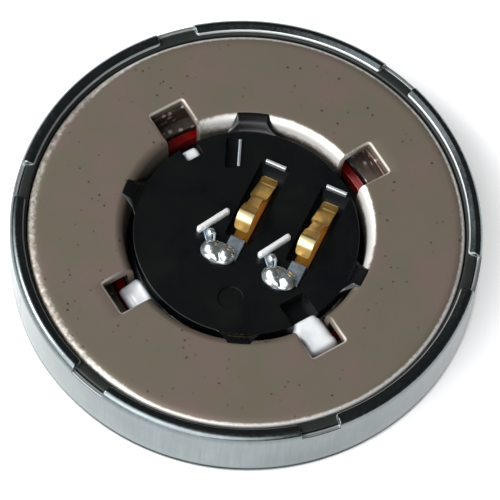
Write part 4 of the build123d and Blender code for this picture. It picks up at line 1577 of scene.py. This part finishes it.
def room(stage, front):
    """A dim room with a wide soft box high on the left and a low light beside the viewer."""
    world = bpy.data.worlds.new("dim_room")
    world.use_nodes = True
    tree = world.node_tree
    tree.nodes.clear()
    way = add_node(tree, "ShaderNodeTexCoord").outputs["Generated"]
    overhead = glow_share(tree, way, front + stage.box_turn, stage.box_rise, radians(24),
                          radians(41))
    corner = glow_share(tree, way, front + stage.corner_turn, stage.corner_rise, radians(12),
                        radians(40))
    boxed = add_node(tree, "ShaderNodeMath", {
        0: overhead, 1: stage.box_level, 2: stage.room_level}, operation="MULTIPLY_ADD")
    level = add_node(tree, "ShaderNodeMath", {
        0: corner, 1: stage.corner_level, 2: boxed.outputs[0]}, operation="MULTIPLY_ADD")
    glow = add_node(tree, "ShaderNodeBackground", {
        "Color": stage.room_tint, "Strength": level.outputs[0]})
    add_node(tree, "ShaderNodeOutputWorld", {"Surface": glow.outputs[0]})
    return world


def aim_camera(stage):
    """The camera, which stands off by a turn, a rise and a distance, and is rolled a little."""
    turn, rise, roll = stage.camera_turn, stage.camera_rise, stage.camera_roll
    right = Vector((cos(turn), sin(turn), 0))
    look = Vector((-sin(turn) * cos(rise), cos(turn) * cos(rise), -sin(rise)))
    up = right.cross(look)
    aside, above = 0.146, 0.2145         # of the can's middle, so that the speaker is centred
    place = look * -stage.camera_distance + (right * aside + up * above) * MM
    side = right * cos(roll) - up * sin(roll)
    top = right * sin(roll) + up * cos(roll)
    lens = bpy.data.cameras.new("camera")
    lens.lens, lens.sensor_width = 336.96, 36
    lens.clip_start, lens.clip_end = 0.005, 5
    camera = bpy.data.objects.new("camera", lens)
    camera.matrix_world = Matrix((
        (side.x, top.x, -look.x, place.x), (side.y, top.y, -look.y, place.y),
        (side.z, top.z, -look.z, place.z), (0, 0, 0, 1)))
    bpy.context.scene.collection.objects.link(camera)
    bpy.context.scene.camera = camera


class EARPIECE_OT_stage(bpy.types.Operator):
    """Builds the floor, the lamp, the dim room and the camera"""
    bl_idname = "earpiece.stage"
    bl_label = "Stage"

    def execute(self, context):
        scene = context.scene
        stage = scene.earpiece_stage
        half = 0.35              # half the floor's side, in metres
        mesh = bpy.data.meshes.new("floor")
        mesh.from_pydata([(-half, -half, 0), (half, -half, 0), (half, half, 0),
                          (-half, half, 0)], [], [(0, 1, 2, 3)])
        mesh.materials.append(bench_paint(stage))
        floor = bpy.data.objects.new("floor", mesh)
        scene.collection.objects.link(floor)
        front = -pi / 2 + stage.camera_turn
        aim_lamp(front + stage.key_turn, stage.key_rise, stage.key_power)
        scene.world = room(stage, front)
        aim_camera(stage)
        scene.view_settings.view_transform = "Standard"
        return {"FINISHED"}


class EARPIECE_PT_pieces(bpy.types.Panel):
    """Lists the speaker's pieces and their sizes"""
    bl_idname = "EARPIECE_PT_pieces"
    bl_label = "Earpiece speaker"
    bl_space_type = "VIEW_3D"
    bl_region_type = "UI"
    bl_category = "Earpiece"

    def draw(self, context):
        layout = self.layout
        for group in GROUPS:
            settings = getattr(context.scene, group)
            box = layout.box()
            for key in settings.bl_rna.properties.keys():
                if key not in ("rna_type", "name"):
                    box.prop(settings, key)
        for operator in OPERATORS:
            layout.operator(operator.bl_idname)


GROUPS = {
    "earpiece_can": CanSettings,
    "earpiece_plate": PlateSettings,
    "earpiece_contacts": ContactSettings,
    "earpiece_colours": FinishColours,
    "earpiece_stage": StageSettings,
}
OPERATORS = (
    EARPIECE_OT_front_can,
    EARPIECE_OT_rear_plate,
    EARPIECE_OT_terminal_block,
    EARPIECE_OT_contacts,
    EARPIECE_OT_voice_coil,
    EARPIECE_OT_lead_glue,
    EARPIECE_OT_diaphragm,
    EARPIECE_OT_stack,
    EARPIECE_OT_dust_cloth,
    EARPIECE_OT_stage,
)


def register():
    for name, group in GROUPS.items():
        bpy.utils.register_class(group)
        setattr(bpy.types.Scene, name, PointerProperty(type=group))
    for operator in OPERATORS:
        bpy.utils.register_class(operator)
    bpy.utils.register_class(EARPIECE_PT_pieces)


def unregister():
    bpy.utils.unregister_class(EARPIECE_PT_pieces)
    for operator in reversed(OPERATORS):
        bpy.utils.unregister_class(operator)
    for name, group in reversed(GROUPS.items()):
        delattr(bpy.types.Scene, name)
        bpy.utils.unregister_class(group)


def main():
    """Builds every piece and the stage."""
    register()
    for operator in OPERATORS:
        group, name = operator.bl_idname.split(".")
        getattr(getattr(bpy.ops, group), name)()


if __name__ == "__main__":
    main()
